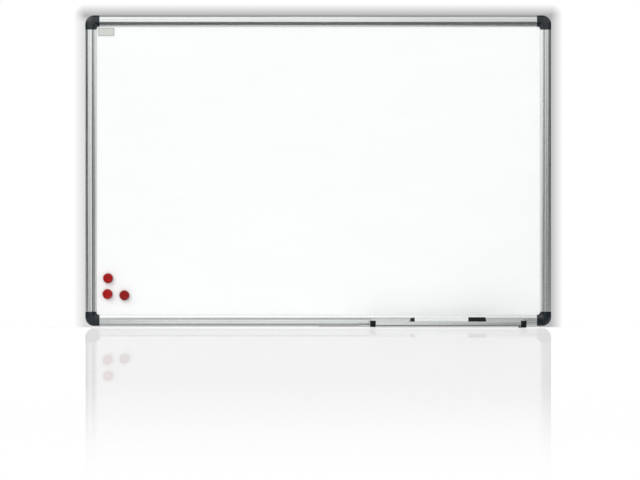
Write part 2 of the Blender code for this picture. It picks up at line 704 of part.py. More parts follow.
def make_marker(axis):
    """The marker's pieces, turned about one axis from the tail to the end of the cap."""
    bore = BARREL_RADIUS - BARREL_WALL
    fit = bore - SEAT_GAP
    barrel_end = MARKER_LENGTH - MARKER_CAP_LENGTH - SEAT_GAP
    plug_end = TAIL_LENGTH + TAIL_SPIGOT
    collar_start = barrel_end - SECTION_COLLAR
    tail = [
        (0, 0),
        (TAIL_RADIUS, 0),
        (TAIL_BASE_RADIUS, TAIL_LENGTH - SEAT_GAP),
        (fit, TAIL_LENGTH - SEAT_GAP),
        (fit, plug_end),
        (0, plug_end),
    ]
    barrel = [
        (bore, TAIL_LENGTH),
        (BARREL_RADIUS - BARREL_END_ROUND, TAIL_LENGTH),
        (BARREL_RADIUS, TAIL_LENGTH + BARREL_END_ROUND),
        (BARREL_RADIUS, barrel_end - BARREL_END_ROUND),
        (BARREL_RADIUS - BARREL_END_ROUND, barrel_end),
        (bore, barrel_end),
    ]
    nib_hole = NIB_RADIUS + SEAT_GAP
    neck = MARKER_CAP_RADIUS - MARKER_CAP_WALL - SEAT_GAP
    cone_start = barrel_end + SECTION_STRAIGHT
    cone_end = cone_start + SECTION_CONE
    holder = [
        (nib_hole, collar_start),
        (fit, collar_start),
        (fit, barrel_end),
        (neck, barrel_end),
        (neck, cone_start),
        (SECTION_TIP_RADIUS, cone_end),
        (nib_hole, cone_end),
    ]
    felt_end = collar_start - SEAT_GAP
    felt_start = plug_end + SEAT_GAP
    reservoir = [(0, felt_start), (fit, felt_start), (fit, felt_end), (0, felt_end)]
    nib_end = cone_end + NIB_OUT
    nib_shoulder = nib_end - NIB_RADIUS
    nib = [
        (0, collar_start),
        (NIB_RADIUS, collar_start),
        (NIB_RADIUS, nib_shoulder),
        (NIB_RADIUS * NIB_ROUND_SHARE, nib_end),
        (0, nib_end),
    ]
    parts = (
        ("marker_tail_plug", "black_plastic", tail),
        ("marker_barrel", "pearl_plastic", barrel),
        ("marker_nib_holder", "white_plastic", holder),
        ("marker_reservoir", "ink_felt", reservoir),
        ("marker_nib", "ink_felt", nib),
        ("marker_cap", "black_plastic", marker_cap_outline(barrel_end + SEAT_GAP)),
    )
    for name, finish_name, outline in parts:
        bm = bmesh.new()
        turned(bm, outline, MARKER_STEPS)
        piece(name, bm, finish_name, axis)


def marker_cap_outline(start):
    """The marker's cap as (radius, length) points: bore, mouth, side with its seam, round end."""
    bore = MARKER_CAP_RADIUS - MARKER_CAP_WALL
    bottom = MARKER_LENGTH - MARKER_CAP_WALL - MARKER_CAP_END_ROUND / 2
    seam = MARKER_LENGTH - CAP_SEAM_FROM_END
    seam_radius = MARKER_CAP_RADIUS - CAP_SEAM_DEPTH
    round_radii = (MARKER_CAP_END_ROUND, MARKER_CAP_END_ROUND)
    round_centre = (MARKER_CAP_RADIUS - MARKER_CAP_END_ROUND, MARKER_LENGTH - MARKER_CAP_END_ROUND)
    return [
        (0, bottom),
        (bore, bottom),
        (bore, start),
        (MARKER_CAP_RADIUS, start),
        (MARKER_CAP_RADIUS, seam),
        (seam_radius, seam),
        (seam_radius, seam + CAP_SEAM_WIDTH),
        (MARKER_CAP_RADIUS, seam + CAP_SEAM_WIDTH),
        *arc(round_centre, round_radii, 0, 1, ARC_STEPS),
        (0, MARKER_LENGTH),
    ]


def make_magnet(name, from_left, from_bottom, frame):
    """A round magnet on the writing sheet: moulded cap and the ferrite disc in its recess."""
    x = from_left - BOARD_WIDTH / 2
    z = from_bottom - BOARD_HEIGHT / 2
    seat = anchor(f"{name}_seat", frame, (0, 0, 0))
    seat.matrix_basis = forward_at(x, z, WRITING_FACE + SEAT_GAP)
    recess_radius = MAGNET_RADIUS - MAGNET_WALL
    recess_top = DISC_HEIGHT + SEAT_GAP
    edge_centre = (MAGNET_TOP_RADIUS - MAGNET_EDGE_ROUND, MAGNET_HEIGHT - MAGNET_EDGE_ROUND)
    edge_radii = (MAGNET_EDGE_ROUND, MAGNET_EDGE_ROUND)
    cap = [
        (0, recess_top),
        (recess_radius, recess_top),
        (recess_radius, 0),
        (MAGNET_RADIUS, 0),
        *arc(edge_centre, edge_radii, 0, 1, ARC_STEPS),
        (MAGNET_DISH_RADIUS, MAGNET_HEIGHT - MAGNET_DISH_DEPTH),
        (0, MAGNET_HEIGHT),
    ]
    disc_radius = recess_radius - SEAT_GAP
    disc = [(0, 0), (disc_radius, 0), (disc_radius, DISC_HEIGHT), (0, DISC_HEIGHT)]
    for label, finish_name, outline in (("cap", "red_plastic", cap), ("disc", "ferrite", disc)):
        bm = bmesh.new()
        turned(bm, outline, MAGNET_STEPS)
        piece(f"{name}_{label}", bm, finish_name, seat)


def make_label(frame):
    """A thin blank plate with rounded corners on the writing sheet."""
    left = LABEL_FROM_LEFT - BOARD_WIDTH / 2
    top = BOARD_HEIGHT / 2 - LABEL_FROM_TOP
    right = left + LABEL_WIDTH
    bottom = top - LABEL_HEIGHT
    radii = (LABEL_ROUND, LABEL_ROUND)
    corners = (
        (right - LABEL_ROUND, top - LABEL_ROUND),
        (left + LABEL_ROUND, top - LABEL_ROUND),
        (left + LABEL_ROUND, bottom + LABEL_ROUND),
        (right - LABEL_ROUND, bottom + LABEL_ROUND),
    )
    outline = []
    for i, centre in enumerate(corners):
        outline += arc(centre, radii, i, i + 1, ARC_STEPS)
    back = WRITING_FACE + SEAT_GAP
    bm = bmesh.new()
    depths = (back, back + LABEL_THICKNESS)
    loft(bm, [[bm.verts.new((x, -w, z)) for x, z in outline] for w in depths])
    piece("label_plate", bm, "label_foil", frame)


def main():
    """Builds the whole whiteboard."""
    for old in list(bpy.data.objects):
        bpy.data.objects.remove(old)
    frame = anchor("frame_centre", None, (0, 0, CENTRE_HEIGHT))
    for turns, name in enumerate(("rail_top", "rail_right", "rail_bottom", "rail_left")):
        make_rail(name, turns, frame)
    corners = (
        ("top_right", 1, 1),
        ("bottom_right", 1, -1),
        ("bottom_left", -1, -1),
        ("top_left", -1, 1),
    )
    for turns, (name, across, up) in enumerate(corners):
        make_corner(f"corner_{name}", across, up, turns, frame)
        make_hanger(f"hanger_{name}", across, up, frame)
    make_panel(frame)
    make_label(frame)
    make_tray(frame)
    for name, from_left, from_bottom in MAGNET_PLACES:
        make_magnet(name, from_left, from_bottom, frame)


main()
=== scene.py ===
"""Looks of the wall-hung whiteboard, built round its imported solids.

Metres, +Z up. The writing face looks along -Y and the wall is the plane y = 0. The origin is the
middle of the top rail's back. Frame sections are drawn in u, inwards from the rails' outer edge,
and w, forwards from the wall, so that a point at u, w of the top rail is (x, -w, top - u).
"""

from __future__ import annotations

import logging
import math
from collections.abc import Iterable, Sequence
from dataclasses import dataclass, replace
from enum import Enum
from typing import Any, ClassVar

import bmesh
import bpy
from mathutils import Euler, Matrix, Vector

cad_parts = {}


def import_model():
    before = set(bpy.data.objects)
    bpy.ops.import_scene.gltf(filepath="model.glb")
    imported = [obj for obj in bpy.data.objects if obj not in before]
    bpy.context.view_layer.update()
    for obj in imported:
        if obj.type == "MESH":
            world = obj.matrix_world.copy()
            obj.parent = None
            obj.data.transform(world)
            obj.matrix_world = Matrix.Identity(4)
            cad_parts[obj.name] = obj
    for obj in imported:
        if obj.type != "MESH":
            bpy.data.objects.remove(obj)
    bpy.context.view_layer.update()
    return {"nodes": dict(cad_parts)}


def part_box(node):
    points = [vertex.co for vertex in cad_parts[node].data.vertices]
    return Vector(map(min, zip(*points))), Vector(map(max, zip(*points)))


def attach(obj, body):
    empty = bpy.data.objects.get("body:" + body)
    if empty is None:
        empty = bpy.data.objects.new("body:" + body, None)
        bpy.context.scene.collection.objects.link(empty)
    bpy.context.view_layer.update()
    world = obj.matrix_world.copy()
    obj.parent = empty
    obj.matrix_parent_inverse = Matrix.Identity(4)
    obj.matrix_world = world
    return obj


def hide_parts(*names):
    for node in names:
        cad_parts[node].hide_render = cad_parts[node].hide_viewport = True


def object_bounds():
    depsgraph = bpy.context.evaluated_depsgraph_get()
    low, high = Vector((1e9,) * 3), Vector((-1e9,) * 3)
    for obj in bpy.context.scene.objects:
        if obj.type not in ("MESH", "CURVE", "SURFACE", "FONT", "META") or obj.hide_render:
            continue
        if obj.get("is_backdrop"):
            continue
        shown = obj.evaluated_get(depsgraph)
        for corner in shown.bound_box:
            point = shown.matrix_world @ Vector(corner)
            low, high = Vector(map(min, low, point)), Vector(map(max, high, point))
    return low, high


Point = tuple[float, float]
Triple = tuple[float, float, float]
Outline = list[Point]
Sizes = dict[Any, Any]
BMesh = bmesh.types.BMesh
Mesh = bpy.types.Mesh
Tree = bpy.types.NodeTree
Object = bpy.types.Object

LOG = logging.getLogger("whiteboard")
QUARTER = math.pi / 2
MM = 0.001
BOARD_BODY = "board"
TRAY_BODY = "tray"
MARKER_BODY = "marker"
MARKER_CAP_BODY = "marker_cap"
# The kinds of node that are used most.
MATH, RANGE = "ShaderNodeMath", "ShaderNodeMapRange"

# The clearance at every seat and the overrun of every cut, as in the solids.
SEAT_GAP = 0.3 * MM
CUT_OVERRUN = 2 * MM
# Points nearer than these are one point, in any mesh and in a bar fresh from its section.
MERGE_DISTANCE = 0.0005 * MM
WELD_DISTANCE = 0.001 * MM
# An outline that turns by less than this stays as it is, and a round takes this much of a side.
LEAST_TURN = math.radians(25)
MOST_OF_SIDE = 0.4
BEVEL_SEGMENTS = 3
# A bevel takes the edges that turn by more, and shading goes sharp over the second.
BEVEL_ANGLE = math.radians(40)
SHARP_ANGLE = math.radians(32)
# The rails' main band is flat inside its line and turns down late at its outer edge.
BAND_POWER = 10
# The cove rises ever more steeply from the lip to the groove.
COVE_POWER = 1.5
# A V-shaped guide line in the groove's floor keeps the groove dark.
GUIDE_DEPTH = 0.5 * MM
# The screws stop at random turns, always the same ones.
TURN_SEED = 8
# The values of a noise crowd between these two.
NOISE_LOW, NOISE_HIGH = 0.3, 0.7
WHITE = (1.0, 1.0, 1.0, 1.0)
# The backdrop's tone in the floor's mirror, where it makes up for the floor's own pale grey.
MIRRORED_WHITE = 1.56


class Run(Enum):
    """The way an extrusion lies on the wall."""

    LEVEL = "level"
    UPRIGHT = "upright"


class Side(Enum):
    """A side of the frame, by its quarter turns clockwise from the top."""

    TOP = 0
    RIGHT = 1
    BOTTOM = 2
    LEFT = 3

    @property
    def run(self) -> Run:
        """The way this side's rail lies."""
        return Run.UPRIGHT if self.value % 2 else Run.LEVEL


class Corner(Enum):
    """A corner of the frame: its quarter turns clockwise from the first, across and up."""

    TOP_RIGHT = (0, 1, 1)
    BOTTOM_RIGHT = (1, 1, -1)
    BOTTOM_LEFT = (2, -1, -1)
    TOP_LEFT = (3, -1, 1)

    def __init__(self, turns: int, across: int, up: int) -> None:
        """Names a corner's three values."""
        self.turns, self.across, self.up = turns, across, up

    @property
    def label(self) -> str:
        """The corner's name as the solids spell it."""
        return self.name.lower()


# Colours and nodes.


def linear(code: str) -> tuple[float, float, float, float]:
    """Turns an sRGB hex colour into Blender's linear values.

    Args:
        code: The colour as "#RRGGBB".

    Returns:
        Red, green, blue and an alpha of 1.
    """
    parts = [int(code[i : i + 2], 16) / 255 for i in (1, 3, 5)]
    # The curve of the sRGB standard: straight at its foot, then a power.
    red, green, blue = (
        part / 12.92 if part <= 0.04045 else ((part + 0.055) / 1.055) ** 2.4 for part in parts
    )
    return red, green, blue, 1.0


def add_node(tree: Tree, kind: str, inputs: Sizes | None = None, **settings: Any) -> Any:
    """Adds one node to a shader or a geometry tree.

    Args:
        tree: The tree that takes the node.
        kind: The node's type.
        inputs: What each socket gets, by name or number: a plain value, the output that feeds it,
            or a node, whose first output in use then feeds it.
        **settings: The node's own properties.

    Returns:
        The node.
    """
    made = tree.nodes.new(kind)
    for name, value in settings.items():
        setattr(made, name, value)
    for socket, value in (inputs or {}).items():
        if isinstance(value, bpy.types.Node):
            value = next(output for output in value.outputs if output.enabled)
        if isinstance(value, bpy.types.NodeSocket):
            tree.links.new(value, made.inputs[socket])
        else:
            made.inputs[socket].default_value = value
    return made


@dataclass(frozen=True)
class Fade:
    """A step of a value: before the start it has one level, past the end another.

    The two levels are numbers, or nodes or outputs that give them.
    """

    start: float
    end: float
    before: Any
    after: Any

    def limits(self) -> Sizes:
        """The step as the inputs of a Map Range node."""
        names = ("From Min", "From Max", "To Min", "To Max")
        return dict(zip(names, (self.start, self.end, self.before, self.after)))


# Finishes.


@dataclass(frozen=True)
class Grain:
    """One noise in a finish: the size of its cells and what it does to the surface.

    The cells are given along X, Y and Z. The noise draws the colour towards other, moves the
    roughness between its two limits, and raises the surface by height where strength isn't 0.
    """

    cells: Triple
    detail: float = 2.0
    other: str = ""
    rough: Point | None = None
    strength: float = 0.0
    height: float = 0.0


@dataclass(frozen=True)
class Finish:
    """One material and the way its surface was made.

    Its colour goes over to other, and its roughness down and up by the two steps of swing.
    """

    name: str
    slot: str
    colour: str
    roughness: float
    metallic: float = 0.0
    ior: float = 1.5
    other: str = "#000000"
    swing: Point = (0.05, 0.05)

    @property
    def rough(self) -> Point:
        """The two limits of the roughness."""
        return self.roughness - self.swing[0], self.roughness + self.swing[1]

    def grains(self) -> tuple[Grain, ...]:
        """The finish's noises, fine and coarse."""
        return ()

    def apply(self, tree: Tree, shader: Any, value: Any, grain: Grain) -> None:
        """Lets a pattern act on the surface.

        Args:
            tree: The material's node tree.
            shader: Its Principled node.
            value: The pattern, mostly between the two noise limits.
            grain: What the pattern does.
        """
        if grain.other:
            ramp = add_node(tree, "ShaderNodeValToRGB", {"Fac": value})
            low, high = ramp.color_ramp.elements
            low.position, high.position = NOISE_LOW, NOISE_HIGH
            low.color, high.color = linear(self.colour), linear(grain.other)
            tree.links.new(ramp.outputs["Color"], shader.inputs["Base Color"])
        if grain.rough:
            limits = Fade(NOISE_LOW, NOISE_HIGH, *grain.rough).limits()
            rough = add_node(tree, RANGE, {"Value": value, **limits})
            tree.links.new(rough.outputs["Result"], shader.inputs["Roughness"])
        if grain.strength:
            relief = {"Height": value, "Strength": grain.strength, "Distance": grain.height}
            bump = add_node(tree, "ShaderNodeBump", relief)
            tree.links.new(bump.outputs["Normal"], shader.inputs["Normal"])

    def pattern(self, tree: Tree, shader: Any, place: Any) -> None:
        """Adds the finish's noises.

        Args:
            tree: The material's node tree.
            shader: Its Principled node.
            place: Object coordinates in metres.
        """
        for grain in self.grains():
            scale = [1 / size for size in grain.cells]
            scaled = add_node(tree, "ShaderNodeMapping", {"Vector": place, "Scale": scale})
            inputs = {"Vector": scaled, "Scale": 1.0, "Detail": grain.detail}
            self.apply(tree, shader, add_node(tree, "ShaderNodeTexNoise", inputs), grain)

    def material(self) -> bpy.types.Material:
        """Makes the material once.

        Returns:
            The material with all of its nodes.
        """
        found = bpy.data.materials.get(self.name)
        if found:
            return found
        made = bpy.data.materials.new(self.name)
        made.use_nodes = True
        tree = made.node_tree
        shader = tree.nodes["Principled BSDF"]
        shader.inputs["Base Color"].default_value = linear(self.colour)
        shader.inputs["Roughness"].default_value = self.roughness
        shader.inputs["Metallic"].default_value = self.metallic
        if not self.metallic:
            shader.inputs["IOR"].default_value = self.ior
        self.pattern(tree, shader, add_node(tree, "ShaderNodeTexCoord").outputs["Object"])
        return made


@dataclass(frozen=True)
class AnodisedExtrusion(Finish):
    """Extruded aluminium, satin anodised: die lines along its length blur what it mirrors.

    Real die lines are about 0.05 mm apart: these are drawn coarse enough to show.
    """

    name: str = "anodised_aluminium_level"
    slot: str = "anodised_aluminium"
    colour: str = "#E2E6E5"
    roughness: float = 0.24
    metallic: float = 1.0
    other: str = "#D9DDDC"
    swing: Point = (0.04, 0.05)
    run: Run = Run.LEVEL
    line_pitch: float = 0.6 * MM
    line_length: float = 90 * MM
    line_height: float = 0.012 * MM
    line_strength: float = 0.35
    streak_width: float = 3.5 * MM
    streak_length: float = 260 * MM

    def cells(self, across: float, along: float) -> Triple:
        """Cell sizes of a pattern that follows the extrusion."""
        return (along, across, across) if self.run is Run.LEVEL else (across, across, along)

    def grains(self) -> tuple[Grain, ...]:
        """Fine die lines in relief and roughness, broad streaks in tint.

        Returns:
            The lines and the streaks.
        """
        lines = Grain(
            self.cells(self.line_pitch, self.line_length),
            detail=3,
            rough=self.rough,
            strength=self.line_strength,
            height=self.line_height,
        )
        return lines, Grain(self.cells(self.streak_width, self.streak_length), other=self.other)


@dataclass(frozen=True)
class MouldedPlastic(Finish):
    """An injection-moulded plastic: a fine eroded texture breaks up its gloss."""

    texture_size: float = 0.7 * MM
    texture_height: float = 0.02 * MM
    texture_strength: float = 0.25
    cloud_size: float = 14 * MM

    def grains(self) -> tuple[Grain, ...]:
        """The tool's texture in the relief, flow marks in tint and roughness.

        Returns:
            The texture and the marks.
        """
        size = (self.texture_size,) * 3
        texture = Grain(size, strength=self.texture_strength, height=self.texture_height)
        return texture, Grain((self.cloud_size,) * 3, detail=3, other=self.other, rough=self.rough)


@dataclass(frozen=True)
class GlossLacquer(Finish):
    """Stove-enamelled lacquer on steel: dead flat and glossy, with a trace of orange peel."""

    name: str = "stoved_white_lacquer"
    slot: str = "white_lacquer"
    colour: str = "#FAFBFB"
    roughness: float = 0.10
    other: str = "#F8F9F9"
    swing: Point = (0.01, 0.02)
    peel_size: float = 5 * MM
    peel_height: float = 0.004 * MM
    peel_strength: float = 0.2
    wipe_width: float = 220 * MM
    wipe_height: float = 60 * MM
    sheet_reach: float = 1.0

    def grains(self) -> tuple[Grain, ...]:
        """Orange peel in the relief, faint wiping marks in roughness and tint.

        Returns:
            The peel and the marks.
        """
        size = (self.peel_size,) * 3
        peel = Grain(size, detail=1, strength=self.peel_strength, height=self.peel_height)
        wipes = (self.wipe_width, self.sheet_reach, self.wipe_height)
        return peel, Grain(wipes, detail=4, other=self.other, rough=self.rough)


@dataclass(frozen=True)
class SpangledSteel(Finish):
    """Hot-dip galvanised sheet: zinc crystals a thumbnail wide, each with its own grey.

    The paler a crystal is, the smoother it is, so its roughness swings the other way.
    """

    name: str = "galvanised_sheet"
    slot: str = "galvanised_steel"
    colour: str = "#A3A8AB"
    roughness: float = 0.42
    metallic: float = 1.0
    other: str = "#C2C6C8"
    swing: Point = (-0.08, -0.08)
    spangle_size: float = 13 * MM
    border_detail: float = 2.0
    frost_size: float = 0.8 * MM
    frost_height: float = 0.01 * MM
    frost_strength: float = 0.15

    def grains(self) -> tuple[Grain, ...]:
        """Frost in the relief."""
        frost = (self.frost_size,) * 3
        return (Grain(frost, strength=self.frost_strength, height=self.frost_height),)

    def pattern(self, tree: Tree, shader: Any, place: Any) -> None:
        """Crystals with ragged borders, each with its own tint and roughness, under the frost.

        Args:
            tree: The material's node tree.
            shader: Its Principled node.
            place: Object coordinates in metres.
        """
        super().pattern(tree, shader, place)
        size = self.spangle_size
        cells = {"Vector": place, "Scale": 1 / size, "Detail": self.border_detail}
        bend = add_node(tree, "ShaderNodeTexNoise", cells)
        shift = {0: bend, 1: (size,) * 3, 2: place}
        moved = add_node(tree, "ShaderNodeVectorMath", shift, operation="MULTIPLY_ADD")
        crystals = add_node(tree, "ShaderNodeTexVoronoi", {"Vector": moved, "Scale": 1 / size})
        shade = add_node(tree, "ShaderNodeSeparateColor", {"Color": crystals.outputs["Color"]})
        limits = Fade(0.0, 1.0, NOISE_LOW, NOISE_HIGH).limits()
        grey = add_node(tree, RANGE, {"Value": shade.outputs["Red"], **limits})
        self.apply(tree, shader, grey, Grain((size,) * 3, other=self.other, rough=self.rough))


@dataclass(frozen=True)
class PlatedSteel(Finish):
    """Pressed steel, zinc plated: bright with soft clouds and a faint rolling grain."""

    name: str = "zinc_plated_steel"
    slot: str = "plated_steel"
    colour: str = "#C3C3BE"
    roughness: float = 0.30
    metallic: float = 1.0
    other: str = "#A9ABA8"
    swing: Point = (0.06, 0.1)
    cloud_size: float = 5 * MM
    grain_width: float = 0.25 * MM
    grain_length: float = 6 * MM
    grain_height: float = 0.01 * MM
    grain_strength: float = 0.2

    def grains(self) -> tuple[Grain, ...]:
        """Clouds in tint and roughness, the rolling grain in the relief.

        Returns:
            The clouds and the grain.
        """
        cloud = Grain((self.cloud_size,) * 3, detail=4, other=self.other, rough=self.rough)
        cells = (self.grain_length, self.grain_width, self.grain_width)
        return cloud, Grain(cells, strength=self.grain_strength, height=self.grain_height)


@dataclass(frozen=True)
class FibrousStuff(Finish):
    """A dull stuff of fibres, which show in its tint and its relief."""

    fibres: Triple = (MM, MM, MM)
    fibre_detail: float = 4.0
    fibre_strength: float = 0.5
    fibre_height: float = 0.1 * MM

    def grains(self) -> tuple[Grain, ...]:
        """The fibres."""
        relief = {"strength": self.fibre_strength, "height": self.fibre_height}
        return (Grain(self.fibres, detail=self.fibre_detail, other=self.other, **relief),)


@dataclass(frozen=True)
class PrintedFoil(Finish):
    """Self-adhesive foil on a thin plate: silver-grey border round a pale blank field."""

    name: str = "printed_label_foil"
    slot: str = "label_foil"
    colour: str = "#CACEC9"
    roughness: float = 0.42
    other: str = "#ADB3AF"
    swing: Point = (0.06, 0.06)
    centre_x: float = 0.0
    centre_z: float = 0.0
    half_width: float = 1.0
    half_height: float = 1.0
    brush_length: float = 4 * MM
    brush_width: float = 0.2 * MM
    brush_strength: float = 0.15
    brush_height: float = 0.01 * MM

    def grains(self) -> tuple[Grain, ...]:
        """A brushed grain in roughness and relief.

        Returns:
            The grain alone.
        """
        cells = (self.brush_length, self.brush_width, self.brush_width)
        relief = {"strength": self.brush_strength, "height": self.brush_height}
        return (Grain(cells, rough=self.rough, **relief),)

    def pattern(self, tree: Tree, shader: Any, place: Any) -> None:
        """The brushed grain and a printed border whose inner edge is a rectangle.

        Args:
            tree: The material's node tree.
            shader: Its Principled node.
            place: Object coordinates in metres.
        """
        super().pattern(tree, shader, place)
        parts = add_node(tree, "ShaderNodeSeparateXYZ", {"Vector": place}).outputs
        share: Any = 0.0
        for axis, centre, half in (
            ("X", self.centre_x, self.half_width),
            ("Z", self.centre_z, self.half_height),
        ):
            moved = add_node(tree, MATH, {0: parts[axis], 1: centre}, operation="SUBTRACT")
            size = add_node(tree, MATH, {0: moved}, operation="ABSOLUTE")
            over = add_node(tree, MATH, {0: size, 1: half}, operation="GREATER_THAN")
            share = add_node(tree, MATH, {0: over, 1: share}, operation="MAXIMUM")
        # A Mix node gives its colour sockets the names of its number sockets: these go by number.
        inputs = {0: share, 6: linear(self.colour), 7: linear(self.other)}
        colours = add_node(tree, "ShaderNodeMix", inputs, data_type="RGBA")
        tree.links.new(colours.outputs[2], shader.inputs["Base Color"])


RAIL_LEVEL = AnodisedExtrusion()
RAIL_UPRIGHT = AnodisedExtrusion(name="anodised_aluminium_upright", run=Run.UPRIGHT)
WRITING_LACQUER = GlossLacquer()
GALVANISED = SpangledSteel()
PLATED = PlatedSteel()
# Pressed wood-fibre board: matt, with brown fibres that lie every way.
CORE = FibrousStuff(
    "pressed_fibre_board",
    "fibre_core",
    "#B49B77",
    0.92,
    other="#8E7552",
    fibres=(4.8 * MM, 1.6 * MM, 1.6 * MM),
    fibre_detail=6,
)
# Bonded polyester felt, soaked with ink: dull, with fibres along its length.
FELT = FibrousStuff(
    "inked_felt",
    "ink_felt",
    "#141416",
    0.95,
    other="#26262A",
    fibres=(3 * MM, 0.2 * MM, 0.2 * MM),
    fibre_detail=3,
    fibre_strength=0.6,
    fibre_height=0.05 * MM,
)
# Sintered ferrite, ground on its faces: charcoal with pale specks.
FERRITE = FibrousStuff(
    "sintered_ferrite",
    "ferrite",
    "#35353A",
    0.55,
    other="#505056",
    fibres=(0.4 * MM, 0.4 * MM, 0.4 * MM),
    fibre_strength=0.4,
    fibre_height=0.03 * MM,
)
# Moulded polypropylene, slate grey, semi-gloss: the frame's corner pieces.
CORNER_PLASTIC = MouldedPlastic(
    "moulded_slate_polypropylene", "slate_plastic", "#0C171D", 0.2, ior=1.52, other="#121E24"
)
# Moulded polyethylene, black: the tray's caps, with a slightly waxy gloss.
TRAY_PLASTIC = MouldedPlastic(
    "moulded_black_polyethylene",
    "black_plastic",
    "#070809",
    0.36,
    ior=1.33,
    other="#0D0F10",
    texture_size=0.5 * MM,
)
# Moulded polypropylene, black and polished: the marker's cap and tail plug.
MARKER_PLASTIC = MouldedPlastic(
    "polished_black_polypropylene",
    "black_plastic",
    "#060809",
    0.22,
    ior=1.33,
    other="#0C0E0F",
    texture_strength=0.08,
)
# Extruded polypropylene barrel, pearl white: smooth, with a soft gloss.
BARREL_PLASTIC = MouldedPlastic(
    "pearl_white_polypropylene",
    "pearl_plastic",
    "#DFE2E3",
    0.26,
    other="#D8DCDD",
    texture_strength=0.06,
    cloud_size=22 * MM,
)
# Moulded polypropylene, natural white: the nib holder, dull where the hand grips it.
HOLDER_PLASTIC = MouldedPlastic(
    "natural_white_polypropylene", "white_plastic", "#DCDDDA", 0.45, other="#D2D3CF"
)
# Moulded ABS, red and glossy, handled until it dulls: the magnets' caps, each in a red of its own.
RED_ABS = MouldedPlastic(
    "red_abs",
    "red_plastic",
    "#9A0406",
    0.26,
    ior=1.3,
    other="#A30A0B",
    swing=(0.07, 0.07),
    texture_size=0.45 * MM,
    texture_strength=0.18,
    cloud_size=6 * MM,
)


# Outlines.


def arc(centre: Point, radius: float, start: float, end: float, steps: int) -> Outline:
    """Points of an arc, both ends included, its angles in quarter turns from the first axis."""
    angles = [(start + (end - start) * i / steps) * QUARTER for i in range(steps + 1)]
    return [(centre[0] + radius * math.cos(a), centre[1] + radius * math.sin(a)) for a in angles]


def rounded(low: Point, high: Point, radius: float, steps: int) -> Outline:
    """A rectangle with round corners.

    Args:
        low: Its lower left corner.
        high: Its upper right corner.
        radius: Radius of its corners.
        steps: Straight pieces in each of them.

    Returns:
        The points, anticlockwise.
    """
    left, right = low[0] + radius, high[0] - radius
    bottom, top = low[1] + radius, high[1] - radius
    made: Outline = []
    for i, centre in enumerate(((right, top), (left, top), (left, bottom), (right, bottom))):
        made += arc(centre, radius, i, i + 1, steps)
    return made


def softened(outline: Outline, radius: float, closed: bool = True, steps: int = 3) -> Outline:
    """Breaks every sharp corner of an outline with a small round.

    Args:
        outline: The points in order.
        radius: Radius of the round, less where a side is too short for it.
        closed: Whether the last point joins the first.
        steps: Straight pieces in each round.

    Returns:
        The outline with its corners rounded.
    """
    made: Outline = []
    count = len(outline)
    for i, spot in enumerate(outline):
        here = Vector(spot)
        before = Vector(outline[i - 1]) - here
        after = Vector(outline[(i + 1) % count]) - here
        ends = not closed and i in (0, count - 1)
        if ends or not before.length or not after.length:
            made.append(spot)
            continue
        turn = math.pi - before.angle(after)
        if turn < LEAST_TURN:
            made.append(spot)
            continue
        most = MOST_OF_SIDE * min(before.length, after.length)
        cut = min(radius * math.tan(turn / 2), most)
        first = here + before.normalized() * cut
        last = here + after.normalized() * cut
        for step in range(steps + 1):
            t = step / steps
            point = first * (1 - t) ** 2 + here * 2 * t * (1 - t) + last * t**2
            made.append((point.x, point.y))
    return made


def inset(outline: Outline, distance: float) -> Outline:
    """Moves every point of a closed outline inwards by a small distance.

    Args:
        outline: The points in order.
        distance: How far they move.

    Returns:
        The smaller outline, point for point.
    """
    area = sum(a[0] * b[1] - b[0] * a[1] for a, b in zip(outline, outline[1:] + outline[:1]))
    sign = 1 if area > 0 else -1
    made: Outline = []
    for i, spot in enumerate(outline):
        before = Vector(outline[i - 1])
        after = Vector(outline[(i + 1) % len(outline)])
        along = (after - before).normalized()
        inwards = Vector((-along.y, along.x)) * sign * distance
        made.append((spot[0] + inwards.x, spot[1] + inwards.y))
    return made


# Meshes.


def loft(rings: Iterable[Iterable[Sequence[float]]], bm: BMesh | None = None) -> BMesh:
    """Makes a solid through rings of points, closed at both ends.

    Args:
        rings: Rings with equally many points.
        bm: The bmesh that takes it, or None for a new one.

    Returns:
        The bmesh.
    """
    if bm is None:
        bm = bmesh.new()
    made = [[bm.verts.new(spot) for spot in ring] for ring in rings]
    for ring, following in zip(made, made[1:]):
        for i, spot in enumerate(ring):
            j = (i + 1) % len(ring)
            bm.faces.new((spot, ring[j], following[j], following[i]))
    bm.faces.new(made[0])
    bm.faces.new(made[-1])
    return bm


def bar(outline: Iterable[Point], start: float, end: float, bm: BMesh | None = None) -> BMesh:
    """Makes a straight bar along X, from one x to another, through a section of (w, z) points."""
    section = list(outline)
    return loft([[(x, -w, z) for w, z in section] for x in (start, end)], bm)


def turned(outline: Outline, steps: int, place: Matrix, bm: BMesh | None = None) -> BMesh:
    """Makes a solid turned about the place's Z axis.

    Args:
        outline: (radius, height) points. It closes on the axis, or else on itself.
        steps: Facets round the axis.
        place: Where the axis stands.
        bm: The bmesh that takes it, or None for a new one.

    Returns:
        The bmesh.
    """
    if bm is None:
        bm = bmesh.new()
    rings = []
    for radius, height in outline:
        angles = [2 * math.pi * i / steps for i in range(steps if radius else 1)]
        spots = [Vector((radius * math.cos(a), radius * math.sin(a), height)) for a in angles]
        rings.append([bm.verts.new(place @ spot) for spot in spots])
    pairs = list(zip(rings, rings[1:]))
    if outline[0][0]:
        pairs.append((rings[-1], rings[0]))
    for ring, following in pairs:
        for i in range(steps):
            j = i + 1
            near, far = len(ring), len(following)
            corners = (ring[i % near], ring[j % near], following[j % far], following[i % far])
            bm.faces.new(tuple(dict.fromkeys(corners)))
    return bm


